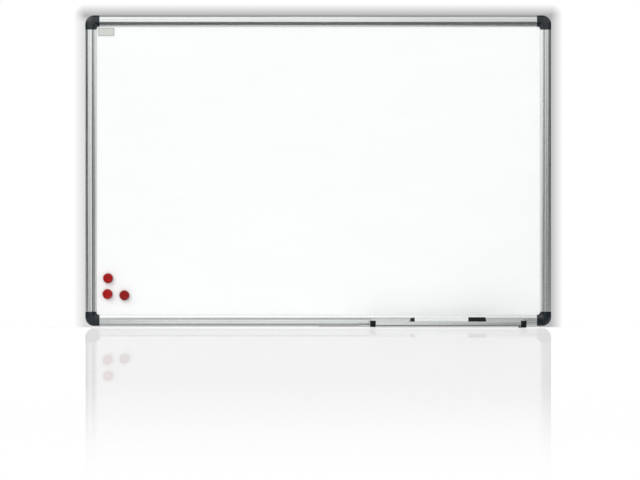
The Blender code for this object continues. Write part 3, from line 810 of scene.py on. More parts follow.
def face_outwards(bm: BMesh) -> None:
    """Turns all faces of a closed bmesh outwards.

    Args:
        bm: The bmesh.
    """
    bmesh.ops.recalc_face_normals(bm, faces=bm.faces)
    if bm.calc_volume(signed=True) < 0:
        bmesh.ops.reverse_faces(bm, faces=bm.faces)


def mesh_of(name: str, bm: BMesh) -> Mesh:
    """Turns a bmesh into a mesh with its faces outwards, and frees it.

    Args:
        name: The mesh's name.
        bm: The closed bmesh.

    Returns:
        The mesh.
    """
    face_outwards(bm)
    mesh = bpy.data.meshes.new(name)
    bm.to_mesh(mesh)
    bm.free()
    return mesh


def cleaned(mesh: Mesh) -> None:
    """Merges a mesh's doubled points and turns its faces outwards.

    Args:
        mesh: The closed mesh.
    """
    bm = bmesh.new()
    bm.from_mesh(mesh)
    bmesh.ops.remove_doubles(bm, verts=bm.verts, dist=MERGE_DISTANCE)
    face_outwards(bm)
    bm.to_mesh(mesh)
    bm.free()


def shown(name: str, data: Any) -> Object:
    """Puts a mesh, a lamp or a camera in the scene as an object at the origin.

    Args:
        name: The object's name.
        data: What it shows.

    Returns:
        The object.
    """
    made = bpy.data.objects.new(name, data)
    bpy.context.scene.collection.objects.link(made)
    return made


def evaluated(made: Object) -> Mesh:
    """Puts an object's modifiers in its mesh.

    Args:
        made: The object, which is removed.

    Returns:
        The new mesh.
    """
    bpy.context.view_layer.update()
    graph = bpy.context.evaluated_depsgraph_get()
    result = bpy.data.meshes.new_from_object(made.evaluated_get(graph))
    bpy.data.meshes.remove(made.data)
    return result


def carved(base: Mesh, steps: Iterable[tuple[str, Mesh]]) -> Mesh:
    """Runs Booleans on a mesh.

    Args:
        base: The closed mesh to start with.
        steps: Pairs of an operation and a closed tool mesh.

    Returns:
        The result as a new mesh. The base and the tools are removed.
    """
    body = shown("carving", base)
    tools = []
    for operation, mesh in steps:
        tools.append(mesh)
        modifier = body.modifiers.new(operation, "BOOLEAN")
        modifier.operation = operation
        modifier.solver = "MANIFOLD"
        modifier.object = shown("carving_tool", mesh)
    result = evaluated(body)
    for mesh in tools:
        bpy.data.meshes.remove(mesh)
    return result


def bevelled(base: Mesh, width: float) -> Mesh:
    """Rounds the sharp edges of a mesh.

    Args:
        base: The mesh, which is removed.
        width: Width of the round.

    Returns:
        The rounded mesh.
    """
    body = shown("bevelling", base)
    modifier = body.modifiers.new("edges", "BEVEL")
    modifier.width = width
    modifier.segments = BEVEL_SEGMENTS
    modifier.limit_method = "ANGLE"
    modifier.angle_limit = BEVEL_ANGLE
    modifier.use_clamp_overlap = True
    return evaluated(body)


def new_tree(name: str, inputs: Sequence[tuple[str, str]]) -> Tree:
    """Starts a geometry tree.

    Args:
        name: The tree's name.
        inputs: Name and socket type of each input after the geometry.

    Returns:
        The tree, still without nodes.
    """
    tree = bpy.data.node_groups.new(name, "GeometryNodeTree")
    face = tree.interface
    face.new_socket("Geometry", in_out="INPUT", socket_type="NodeSocketGeometry")
    for title, kind in inputs:
        face.new_socket(title, in_out="INPUT", socket_type=kind)
    face.new_socket("Geometry", in_out="OUTPUT", socket_type="NodeSocketGeometry")
    return tree


def end_tree(tree: Tree, geometry: Any, finish: Any) -> None:
    """Ends a geometry tree: instances made real, then the finish.

    Args:
        tree: The tree.
        geometry: The node that gives the geometry.
        finish: The output that holds the material.
    """
    real = add_node(tree, "GeometryNodeRealizeInstances", {"Geometry": geometry})
    inputs = {"Geometry": real, "Material": finish}
    dressed = add_node(tree, "GeometryNodeSetMaterial", inputs)
    add_node(tree, "NodeGroupOutput", {"Geometry": dressed})


def extrusion_tree() -> Tree:
    """A tree that presses a section, given as closed loops of edges, into a bar along Z.

    Returns:
        The tree, with inputs Length and Finish.
    """
    name = "press_extrusion"
    if name in bpy.data.node_groups:
        return bpy.data.node_groups[name]
    tree = new_tree(name, [("Length", "NodeSocketFloat"), ("Finish", "NodeSocketMaterial")])
    given = add_node(tree, "NodeGroupInput").outputs
    loops = add_node(tree, "GeometryNodeMeshToCurve", {"Mesh": given["Geometry"]})
    filled = add_node(tree, "GeometryNodeFillCurve", {"Curve": loops})
    length = add_node(tree, "ShaderNodeCombineXYZ", {"Z": given["Length"]})
    inputs = {"Mesh": filled, "Offset": length, "Offset Scale": 1.0, "Individual": False}
    pressed = add_node(tree, "GeometryNodeExtrudeMesh", inputs)
    start = add_node(tree, "GeometryNodeFlipFaces", {"Mesh": filled})
    joined = add_node(tree, "GeometryNodeJoinGeometry", {"Geometry": pressed})
    tree.links.new(start.outputs["Mesh"], joined.inputs["Geometry"])
    inputs = {"Geometry": joined, "Distance": WELD_DISTANCE}
    closed = add_node(tree, "GeometryNodeMergeByDistance", inputs)
    end_tree(tree, closed, given["Finish"])
    return tree


def fixings_tree() -> Tree:
    """A tree that sets a fixing on every point, each driven home at its own angle.

    Returns:
        The tree, with inputs Fixing, Most turn, Seed and Finish.
    """
    name = "set_fixings"
    if name in bpy.data.node_groups:
        return bpy.data.node_groups[name]
    sockets = [
        ("Fixing", "NodeSocketObject"),
        ("Most turn", "NodeSocketFloat"),
        ("Seed", "NodeSocketInt"),
        ("Finish", "NodeSocketMaterial"),
    ]
    tree = new_tree(name, sockets)
    given = add_node(tree, "NodeGroupInput").outputs
    fixing = add_node(tree, "GeometryNodeObjectInfo", {"Object": given["Fixing"]})
    inputs = {"Points": given["Geometry"], "Instance": fixing.outputs["Geometry"]}
    placed = add_node(tree, "GeometryNodeInstanceOnPoints", inputs)
    limits = {"Max": given["Most turn"], "Seed": given["Seed"]}
    angle = add_node(tree, "FunctionNodeRandomValue", limits, data_type="FLOAT")
    spin = add_node(tree, "ShaderNodeCombineXYZ", {"Z": angle.outputs["Value"]})
    for turn in (Euler((QUARTER, 0, 0)), spin):
        inputs = {"Instances": placed, "Rotation": turn}
        placed = add_node(tree, "GeometryNodeRotateInstances", inputs)
    end_tree(tree, placed, given["Finish"])
    return tree


def grown(source: Mesh, tree: Tree, sizes: Sizes) -> Mesh:
    """Runs a geometry tree on a mesh.

    Args:
        source: The mesh that the tree starts from, which is removed.
        tree: The tree.
        sizes: Value of each of the tree's inputs by name.

    Returns:
        The result as a plain mesh.
    """
    seed = shown("growing", source)
    modifier = seed.modifiers.new(tree.name, "NODES")
    modifier.node_group = tree
    for item in tree.interface.items_tree:
        if item.in_out == "INPUT" and item.name in sizes:
            modifier[item.identifier] = sizes[item.name]
    return evaluated(seed)


def extruded(outlines: Iterable[Outline], length: float, finish: Finish, place: Matrix) -> Mesh:
    """Presses a hollow or solid section into a bar.

    Args:
        outlines: The section's outer loop and its holes, drawn in X and Y.
        length: Length of the bar along Z.
        finish: Its material.
        place: Where the section's own axes go.

    Returns:
        The bar's mesh, in its place.
    """
    bm = bmesh.new()
    for outline in outlines:
        spots = [bm.verts.new((x, y, 0)) for x, y in outline]
        for i, spot in enumerate(spots):
            bm.edges.new((spots[i - 1], spot))
    source = bpy.data.meshes.new("section")
    bm.to_mesh(source)
    bm.free()
    sizes = {"Length": length, "Finish": finish.material()}
    result = grown(source, extrusion_tree(), sizes)
    result.transform(place)
    cleaned(result)
    return result


def finished(name: str, mesh: Mesh, finish: Finish, body: str, nodes: Sequence[str]) -> None:
    """Hands a piece over to the frame: its finish, the body it rides on and what it stands for.

    Args:
        name: The piece's name.
        mesh: Its mesh, in place.
        finish: Its material.
        body: The body that it moves with.
        nodes: The solids that it replaces.
    """
    mesh.name = name
    cleaned(mesh)
    mesh.materials.clear()
    mesh.materials.append(finish.material())
    mesh.shade_smooth()
    mesh.set_sharp_from_angle(angle=SHARP_ANGLE)
    made = shown(name, mesh)
    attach(made, body)
    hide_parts(*nodes)
    LOG.info("%s: %d faces on %s", name, len(mesh.polygons), body)


def forward_at(x: float, z: float, w: float) -> Matrix:
    """A place whose Z axis looks forwards, off the wall."""
    return Matrix.Translation((x, -w, z)) @ Matrix.Rotation(QUARTER, 4, "X")


# The frame.


@dataclass(frozen=True)
class FrameSection:
    """The section that the rails and the corner pieces share."""

    board_width: float = 900 * MM
    board_height: float = 600 * MM
    depth: float = 20 * MM
    back_chamfer: float = 0.8 * MM
    outer_round: float = 4.5 * MM
    band_sag: float = 0.4 * MM
    line_width: float = 0.5 * MM
    line_depth: float = 0.25 * MM
    groove_outer: float = 12.5 * MM
    groove_inner: float = 14 * MM
    lip_edge: float = 21 * MM
    lip_thickness: float = 1.2 * MM
    cove_drop: float = 2.4 * MM
    channel_edge: float = 9 * MM
    channel_back: float = 4.7 * MM
    channel_front: float = 15 * MM
    flange_tip: float = 17 * MM
    flange_thickness: float = 1.4 * MM
    slot_wall: float = 1.4 * MM
    slot_depth: float = 1.5 * MM
    slot_undercut: float = 1.9 * MM
    wall: float = 1.3 * MM
    web_back: float = 8.2 * MM
    chamber_chamfer: float = 2 * MM
    chamber_front: float = 18.3 * MM
    proud: float = 0.4 * MM
    edge_break: float = 0.18 * MM
    rail_steps: int = 12
    corner_steps: int = 10

    @property
    def half_width(self) -> float:
        """Half the width over the rails."""
        return self.board_width / 2 - self.proud

    @property
    def half_height(self) -> float:
        """Half the height over the rails."""
        return self.board_height / 2 - self.proud

    @property
    def centre(self) -> Vector:
        """The middle of the board, in the wall's plane."""
        return Vector((0, 0, (self.back_chamfer + self.channel_edge) / 2 - self.half_height))

    @property
    def chamber_middle(self) -> float:
        """u of the chambers' middle, where the screws go in."""
        return self.channel_edge / 2

    def front(self, proud: float, groove: Outline, steps: int) -> Outline:
        """The front from the lip's edge to the outer wall.

        Args:
            proud: How far the outline stands out beyond the rails'.
            groove: The groove's points.
            steps: Straight pieces in each round.

        Returns:
            (u, w) points.
        """
        crown = self.depth + proud
        lip = self.channel_front + self.lip_thickness + proud
        span = self.lip_edge - self.groove_inner
        shares = [i / steps for i in range(steps + 1)]
        cove = [(self.lip_edge - span * s, lip + self.cove_drop * s**COVE_POWER) for s in shares]
        middle = (self.outer_round + self.groove_outer) / 2
        half = (self.groove_outer - self.outer_round) / 2
        half_line = self.line_width / 2
        outer: Outline = []
        for share in shares:
            out = half_line + (half - half_line) * share
            outer.append((middle - out, crown - self.band_sag * (out / half) ** BAND_POWER))
        inner = [(self.groove_outer, crown), (middle + half_line, crown)]
        line = (middle, crown - self.line_depth)
        edge_centre = (self.outer_round - proud, crown - self.band_sag - self.outer_round)
        edge = arc(edge_centre, self.outer_round, 1, 2, steps)
        # Where nothing stands out, the outer round starts in the band's last point.
        return [*cove, *groove, *inner, line, *outer, *edge[0 if proud else 1 :]]

    def around(self, proud: float, pocket: Outline, groove: Outline, steps: int) -> Outline:
        """The whole outline, from the back's chamfer over the back flange to the outer wall.

        Args:
            proud: How far the outline stands out beyond the rails'.
            pocket: The points from the flange's tip to the lip's edge.
            groove: The groove's points.
            steps: Straight pieces in each round.

        Returns:
            (u, w) points.
        """
        flange_back = self.channel_back - self.flange_thickness
        back = [
            (-proud, self.back_chamfer),
            (self.back_chamfer - proud, 0),
            (self.channel_edge, 0),
            (self.channel_edge, flange_back),
            (self.flange_tip, flange_back),
        ]
        return softened([*back, *pocket, *self.front(proud, groove, steps)], self.edge_break)

    def rail(self) -> Outline:
        """The extrusion's outer outline.

        Returns:
            (u, w) points.
        """
        slot_back = self.channel_front + self.slot_wall
        slot_front = slot_back + self.slot_depth
        slot_far = self.groove_outer - self.slot_undercut
        middle = (self.groove_inner + self.groove_outer) / 2
        groove = [
            (self.groove_inner, slot_back),
            (middle, slot_back - GUIDE_DEPTH),
            (self.groove_outer, slot_back),
            (slot_far, slot_back),
            (slot_far, slot_front),
            (self.groove_outer, slot_front),
        ]
        channel = [
            (self.flange_tip, self.channel_back),
            (self.channel_edge, self.channel_back),
            (self.channel_edge, self.channel_front),
            (self.lip_edge, self.channel_front),
        ]
        return self.around(0, channel, groove, self.rail_steps)

    def corner(self, groove_depth: float) -> Outline:
        """A corner piece's outline, still solid where the panel's pocket will be.

        Args:
            groove_depth: Depth of its groove.

        Returns:
            (u, w) points.
        """
        middle = (self.channel_back + self.channel_front) / 2
        floor = self.depth + self.proud - self.band_sag - groove_depth
        groove = [(self.groove_inner, floor), (self.groove_outer, floor)]
        solid = [(self.flange_tip, middle), (self.lip_edge, middle)]
        return self.around(self.proud, solid, groove, self.corner_steps)

    def chambers(self, clearance: float) -> tuple[Outline, Outline]:
        """The rear and the front chamber.

        Args:
            clearance: How far they are drawn in.

        Returns:
            Two lists of (u, w) points.
        """
        near = self.wall + clearance
        far = self.channel_edge - self.wall - clearance
        web_front = self.web_back + self.wall + clearance
        front = self.chamber_front - clearance
        low = self.wall + clearance
        web_back = self.web_back - clearance
        rear = [(near, low), (far, low), (far, web_back), (near, web_back)]
        forward = [
            (near, web_front),
            (far, web_front),
            (far, front),
            (near + self.chamber_chamfer, front),
            (near, front - self.chamber_chamfer),
        ]
        return rear, forward


@dataclass(frozen=True)
class CrossScrew:
    """A countersunk screw with a cross recess, its head at the origin and its point up Z."""

    radius: float = 1.45 * MM
    head_radius: float = 2.8 * MM
    head_height: float = 1.2 * MM
    head_edge: float = 0.12 * MM
    inset: float = 0.3 * MM
    length: float = 15.2 * MM
    point: float = 1.8 * MM
    recess_half: float = 1.55 * MM
    recess_width: float = 0.55 * MM
    recess_depth: float = 1.1 * MM
    recess_taper: float = 0.35
    recess_least: float = 0.1 * MM
    thread_pitch: float = 1.0 * MM
    thread_depth: float = 0.28 * MM
    steps: int = 32

    def hole(self) -> Outline:
        """The hole that takes it, open towards the wall.

        Returns:
            (radius, height) points.
        """
        top = -self.inset - CUT_OVERRUN
        head = self.head_radius + SEAT_GAP
        shank = self.radius + SEAT_GAP
        return [
            (0, top),
            (head, top),
            (head, 0),
            (shank, self.head_height),
            (shank, self.length - self.point),
            (0, self.length + SEAT_GAP),
        ]

    def outline(self) -> Outline:
        """The head and the thread, drawn as rings, down to the point.

        Returns:
            (radius, height) points.
        """
        made = [
            (0, 0),
            (self.head_radius - self.head_edge, 0),
            (self.head_radius, self.head_edge),
            (self.radius, self.head_height),
        ]
        height = self.head_height + self.thread_pitch
        root = self.radius - self.thread_depth
        while height < self.length - self.point:
            made += [(root, height), (self.radius, height + self.thread_pitch / 2)]
            height += self.thread_pitch
        return [*made, (0, self.length)]

    def mesh(self) -> Mesh:
        """The screw, with a recess of two crossed slots that narrow towards their foot.

        Returns:
            The mesh.
        """
        wide, narrow = self.recess_half, self.recess_width / 2
        levels = ((-self.head_edge, 1), (0, 1), (self.recess_depth, self.recess_taper))
        recess = bmesh.new()
        for slot in ((wide, narrow), (narrow, wide)):
            rings = []
            for height, share in levels:
                x, y = (max(half * share, self.recess_least) for half in slot)
                rings.append([(a, b, height) for a, b in ((-x, -y), (x, -y), (x, y), (-x, y))])
            loft(rings, recess)
        body = turned(self.outline(), self.steps, Matrix())
        return carved(mesh_of("screw", body), [("DIFFERENCE", mesh_of("recess", recess))])


@dataclass(frozen=True)
class DomedRivet:
    """A blind rivet from the back: a domed head with its mandrel's end in the middle."""

    radius: float = 1.6 * MM
    head_radius: float = 3.0 * MM
    head_height: float = 1.1 * MM
    head_edge: float = 0.25 * MM
    mandrel_radius: float = 0.85 * MM
    mandrel_sunk: float = 0.35 * MM
    mouth_width: float = 0.15 * MM
    mouth_depth: float = 0.05 * MM
    dome_steps: int = 8
    steps: int = 32

    def mesh(self, shank: float) -> Mesh:
        """The rivet, its head's top at the origin and its shank up Z.

        Args:
            shank: Length from the top of the head to the end of the shank.

        Returns:
            The mesh.
        """
        rise = self.head_height - self.head_edge
        mouth = self.mandrel_radius + self.mouth_width
        span = self.head_radius - mouth
        angles = [i / self.dome_steps * QUARTER for i in range(self.dome_steps + 1)]
        outline = [
            (0, self.mandrel_sunk),
            (self.mandrel_radius, self.mandrel_sunk),
            (self.mandrel_radius, self.mouth_depth),
            *[(mouth + span * math.sin(a), rise * (1 - math.cos(a))) for a in angles],
            (self.head_radius, self.head_height),
            (self.radius, self.head_height),
            (self.radius, shank),
            (0, shank),
        ]
        return mesh_of("rivet", turned(outline, self.steps, Matrix()))


@dataclass(frozen=True)
class Hanger:
    """The joggled keyhole plates under the top and bottom rails' back flange."""

    section: FrameSection
    rivet: DomedRivet = DomedRivet()
    from_side: float = 80 * MM
    width: float = 32 * MM
    thickness: float = 1.2 * MM
    near: float = 9.8 * MM
    joggle_start: float = 17.5 * MM
    joggle_end: float = 19.5 * MM
    far: float = 42 * MM
    bend: float = 1.2 * MM
    bend_steps: int = 6
    corner_round: float = 3 * MM
    corner_steps: int = 8
    keyhole_radius: float = 5 * MM
    keyhole_steps: int = 40
    slot_radius: float = 2.3 * MM
    slot_length: float = 7.5 * MM
    slot_steps: int = 16
    rivet_spread: float = 18 * MM
    rivet_place: float = 13.4 * MM
    rivet_hole_steps: int = 24
    edge_break: float = 0.15 * MM

    @property
    def half_spread(self) -> float:
        """x of the right-hand hangers' middle."""
        return self.section.board_width / 2 - self.from_side

    @property
    def tab_back(self) -> float:
        """w of the tab's back, where the rivets' heads sit."""
        section = self.section
        return section.channel_back - section.flange_thickness - SEAT_GAP - self.thickness

    @property
    def head_back(self) -> float:
        """w of the top of the rivets' heads."""
        return self.tab_back - SEAT_GAP - self.rivet.head_height

    def rivet_hole(self, x: float, z: float, bm: BMesh) -> None:
        """Adds the cutter of one rivet hole.

        Args:
            x: Its place across.
            z: Its height.
            bm: The bmesh that takes it.
        """
        radius = self.rivet.radius + SEAT_GAP
        depth = self.section.channel_back + CUT_OVERRUN
        outline = [(0, 0), (radius, 0), (radius, depth), (0, depth)]
        turned(outline, self.rivet_hole_steps, forward_at(x, z, 0), bm)

    def strip(self, up: int) -> BMesh:
        """The bent strip that a plate is cut from, about its rail's outer edge.

        Args:
            up: 1 for the top rail and -1 for the bottom one.

        Returns:
            The bmesh.
        """
        near, far = self.near - CUT_OVERRUN, self.far + CUT_OVERRUN
        tab_front, foot_front = self.tab_back + self.thickness, SEAT_GAP + self.thickness
        outline = [
            (near, self.tab_back),
            (self.joggle_start, self.tab_back),
            (self.joggle_end, SEAT_GAP),
            (far, SEAT_GAP),
            (far, foot_front),
            (self.joggle_end, foot_front),
            (self.joggle_start, tab_front),
            (near, tab_front),
        ]
        bends = softened(outline, self.bend, steps=self.bend_steps)
        half = self.width / 2 + CUT_OVERRUN
        return bar([(w, -up * u) for u, w in bends], -half, half)

    def keyhole(self, up: int) -> Outline:
        """The keyhole, its slot upwards, centred in the plate's foot.

        Args:
            up: 1 for the top rail and -1 for the bottom one.

        Returns:
            (x, z) points.
        """
        middle = (self.joggle_end + self.far) / 2
        drop = (self.slot_length + self.slot_radius - self.keyhole_radius) / 2
        z = -up * middle - drop
        meet = math.asin(self.slot_radius / self.keyhole_radius) / QUARTER
        mouth = arc((0, z), self.keyhole_radius, 1 + meet, 5 - meet, self.keyhole_steps)
        return [*mouth, *arc((0, z + self.slot_length), self.slot_radius, 0, 2, self.slot_steps)]

    def plate(self, up: int) -> Mesh:
        """A hanger about its rail's outer edge, with its keyhole and rivet holes.

        Args:
            up: 1 for the top rail and -1 for the bottom one.

        Returns:
            The mesh.
        """
        half = self.width / 2
        low, high = sorted((-up * self.near, -up * self.far))
        blank = rounded((-half, low), (half, high), self.corner_round, self.corner_steps)
        depths = (CUT_OVERRUN, -self.section.channel_back)
        trim, holes = (
            loft([[(x, y, z) for x, z in plan] for y in depths])
            for plan in (blank, self.keyhole(up))
        )
        for side in (-1, 1):
            self.rivet_hole(side * self.rivet_spread / 2, -up * self.rivet_place, holes)
        cuts = [("INTERSECT", mesh_of("blank", trim)), ("DIFFERENCE", mesh_of("holes", holes))]
        return bevelled(carved(mesh_of("hanger", self.strip(up)), cuts), self.edge_break)

    def build(self) -> None:
        """Makes the four plates and their rivets."""
        section = self.section
        spots = []
        for corner in Corner:
            mesh = self.plate(corner.up)
            place = (corner.across * self.half_spread, 0, corner.up * section.half_height)
            mesh.transform(Matrix.Translation(section.centre + Vector(place)))
            name = f"hanger_{corner.label}"
            finished(f"{name}_plate", mesh, PLATED, BOARD_BODY, [name])
            for side in (-1, 1):
                x = corner.across * self.half_spread + side * self.rivet_spread / 2
                z = corner.up * (section.half_height - self.rivet_place)
                spots.append(Vector((x, -self.head_back, z)) + section.centre)
        nodes = [f"hanger_{c.label}_rivet_{side}" for c in Corner for side in ("left", "right")]
        rivet = self.rivet.mesh(section.channel_back - self.head_back)
        set_fixings("hanger_rivets", rivet, spots, 0, nodes)


def set_fixings(
    name: str, fixing: Mesh, spots: Sequence[Vector], turn: float, nodes: Sequence[str]
) -> None:
    """Sets copies of one plated fixing at many places, as one piece of the board.

    Args:
        name: The piece's name.
        fixing: The fixing's mesh, its head at the origin and its shank up Z. It is removed.
        spots: Where the heads go.
        turn: Greatest random turn about its axis, in radians.
        nodes: The solids that the piece replaces.
    """
    points = bpy.data.meshes.new("spots")
    points.from_pydata(spots, [], [])
    model = shown("fixing", fixing)
    sizes = {"Fixing": model, "Most turn": turn, "Seed": TURN_SEED, "Finish": PLATED.material()}
    mesh = grown(points, fixings_tree(), sizes)
    bpy.data.meshes.remove(fixing)
    finished(name, mesh, PLATED, BOARD_BODY, nodes)


@dataclass(frozen=True)
class Frame:
    """The rails, the corner pieces and the screws that hold them together."""

    section: FrameSection
    hanger: Hanger
    screw: CrossScrew = CrossScrew()
    corner_arm: float = 27 * MM
    radius_outer: float = 17 * MM
    radius_groove: float = 8 * MM
    radius_lip: float = 5.5 * MM
    groove_depth: float = 1.8 * MM
    bend_steps: int = 24
    tongue_reach: float = 30 * MM
    tongue_root: float = 10 * MM
    coring_near: float = 1.6 * MM
    coring_far: float = 4.0 * MM
    coring_depth: float = 8.5 * MM
    screw_setback: float = 12 * MM
    seam_edge: float = 0.1 * MM

    @property
    def rail_end(self) -> float:
        """Distance of a rail's end from the frame's outer corner."""
        return self.corner_arm + SEAT_GAP

    def rail(self, side: Side) -> None:
        """Makes one rail, with its chambers, screw holes and rivet holes.

        Args:
            side: The side of the frame.
        """
        section, hanger = self.section, self.hanger
        upright = side.run is Run.UPRIGHT
        finish = RAIL_UPRIGHT if upright else RAIL_LEVEL
        reach = section.half_width if upright else section.half_height
        half = (section.half_height if upright else section.half_width) - self.rail_end
        # The section's X is u and its Y is w, and it is pressed along the rail's own +X.
        axes = Matrix(((0, 0, 1, -half), (0, -1, 0, 0), (-1, 0, 0, 0), (0, 0, 0, 1)))
        blank = extruded([section.rail(), *section.chambers(0)], 2 * half, finish, axes)
        holes = bmesh.new()
        for end in (-1, 1):
            along = end * (half - self.screw_setback)
            place = forward_at(along, -section.chamber_middle, self.screw.inset)
            turned(self.screw.hole(), self.screw.steps, place, holes)
            for rivet in () if upright else (-1, 1):
                x = end * hanger.half_spread + rivet * hanger.rivet_spread / 2
                hanger.rivet_hole(x, -hanger.rivet_place, holes)
        mesh = carved(blank, [("DIFFERENCE", mesh_of("holes", holes))])
        angle = side.value * QUARTER
        spot = Vector((reach * math.sin(angle), 0, reach * math.cos(angle)))
        turn = Matrix.Rotation(angle, 4, "Y")
        mesh.transform(Matrix.Translation(section.centre + spot) @ turn)
        name = f"rail_{side.name.lower()}"
        finished(f"{name}_extrusion", mesh, finish, BOARD_BODY, [name])

    def bend_radius(self, u: float) -> float:
        """The bend's radius: large outside, then tighter from the groove to the lip.

        Args:
            u: The place in the section.

        Returns:
            The radius.
        """
        section = self.section
        if u < section.groove_outer:
            share = (u + section.proud) / (section.groove_outer + section.proud)
            return self.radius_outer + (self.radius_groove - self.radius_outer) * share
        share = (u - section.groove_outer) / (section.lip_edge - section.groove_outer)
        return self.radius_groove + (self.radius_lip - self.radius_groove) * share

    def bent(self, outline: Outline, arm: float, bm: BMesh | None = None) -> BMesh:
        """Sweeps an outline round the top right corner.

        Args:
            outline: (u, w) points.
            arm: Length of the straight arms, or 0 for none.
            bm: The bmesh that takes it, or None for a new one.

        Returns:
            The bmesh.
        """
        rings = []
        for i in range(self.bend_steps + 1):
            angle = i / self.bend_steps * QUARTER
            ring = []
            for u, w in outline:
                radius = self.bend_radius(u)
                centre = u + radius
                x, z = radius * math.sin(angle) - centre, radius * math.cos(angle) - centre
                ring.append((x, -w, z))
            rings.append(ring)
        if arm:
            small = inset(outline, self.seam_edge)
            for reach, section in ((arm - self.seam_edge, outline), (arm, small)):
                rings.insert(0, [(-reach, -w, -u) for u, w in section])
                rings.append([(-u, -w, -reach) for u, w in section])
        return loft(rings, bm)

    def corner_mesh(self) -> Mesh:
        """The top right corner piece, with its tongues and pocket, about the rails' outer corner.

        Returns:
            The mesh.
        """
        section = self.section
        body = self.bent(section.corner(self.groove_depth), self.corner_arm)
        tongue = section.chambers(SEAT_GAP)[1]
        ends = (-self.corner_arm - self.tongue_reach, self.tongue_root - self.corner_arm)
        tongues = bar([(w, -u) for u, w in tongue], *ends)
        loft([[(-u, -w, z) for u, w in tongue] for z in ends], tongues)
        far, near = -self.corner_arm - CUT_OVERRUN, -section.channel_edge
        front, back = section.channel_front, section.channel_back
        cuts = bar([(front, far), (back, far), (back, near), (front, near)], far, near)
        start, end = -CUT_OVERRUN, self.coring_depth
        near, far = self.coring_near, self.coring_far
        self.bent([(near, start), (far, start), (far, end), (near, end)], 0, cuts)
        along = self.rail_end + self.screw_setback
        for x, z in ((-along, -section.chamber_middle), (-section.chamber_middle, -along)):
            turned(self.screw.hole(), self.screw.steps, forward_at(x, z, self.screw.inset), cuts)
        steps = [("UNION", mesh_of("tongues", tongues)), ("DIFFERENCE", mesh_of("cuts", cuts))]
        return carved(mesh_of("corner", body), steps)

    def build(self) -> None:
        """Makes the four rails, the four corner pieces and the eight screws."""
        for side in Side:
            self.rail(side)
        section, spots = self.section, []
        pattern = self.corner_mesh()
        deep, along = section.chamber_middle, self.rail_end + self.screw_setback
        for corner in Corner:
            mesh = pattern.copy()
            place = (corner.across * section.half_width, 0, corner.up * section.half_height)
            turn = Matrix.Rotation(corner.turns * QUARTER, 4, "Y")
            mesh.transform(Matrix.Translation(section.centre + Vector(place)) @ turn)
            name = f"corner_{corner.label}"
            finished(f"{name}_moulding", mesh, CORNER_PLASTIC, BOARD_BODY, [name])
            for across, down in ((along, deep), (deep, along)):
                x = corner.across * (section.half_width - across)
                z = corner.up * (section.half_height - down)
                spots.append(Vector((x, -self.screw.inset, z)) + section.centre)
        bpy.data.meshes.remove(pattern)
        nodes = [f"corner_{c.label}_screw_{arm}" for c in Corner for arm in ("level", "side")]
        set_fixings("corner_screws", self.screw.mesh(), spots, QUARTER, nodes)


# What the frame holds.


@dataclass(frozen=True)
class Panel:
    """The three sheets in the frame's channel, whose solids have the right shape already."""

    layers: tuple[tuple[str, Finish], ...] = (
        ("backing_sheet", GALVANISED),
        ("core_board", CORE),
        ("writing_sheet", WRITING_LACQUER),
    )

    def build(self, nodes: dict[str, Object]) -> None:
        """Gives the sheets, which stay in view, their finishes.

        Args:
            nodes: The frame's solids by name.
        """
        for name, finish in self.layers:
            for slot in nodes[name].material_slots:
                slot.material = finish.material()
            LOG.info("%s: dressed in %s", name, finish.name)


@dataclass(frozen=True)
class LabelPlate:
    """The thin blank plate near the top left corner of the writing sheet."""

    node: str = "label_plate"
    corner_round: float = 0.8 * MM
    corner_steps: int = 6
    edge: float = 0.12 * MM
    border: float = 1.3 * MM

    def build(self) -> None:
        """Makes the plate in its solid's place, with its front edge broken."""
        low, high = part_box(self.node)
        plan = rounded((low.x, low.z), (high.x, high.z), self.corner_round, self.corner_steps)
        small = inset(plan, self.edge)
        levels = ((high.y, plan), (low.y + self.edge, plan), (low.y, small))
        plate = loft([[(x, y, z) for x, z in ring] for y, ring in levels])
        middle = (low + high) / 2
        finish = PrintedFoil(
            centre_x=middle.x,
            centre_z=middle.z,
            half_width=(high.x - low.x) / 2 - self.border,
            half_height=(high.z - low.z) / 2 - self.border,
        )
        finished("label_plate_foil", mesh_of("label", plate), finish, BOARD_BODY, [self.node])


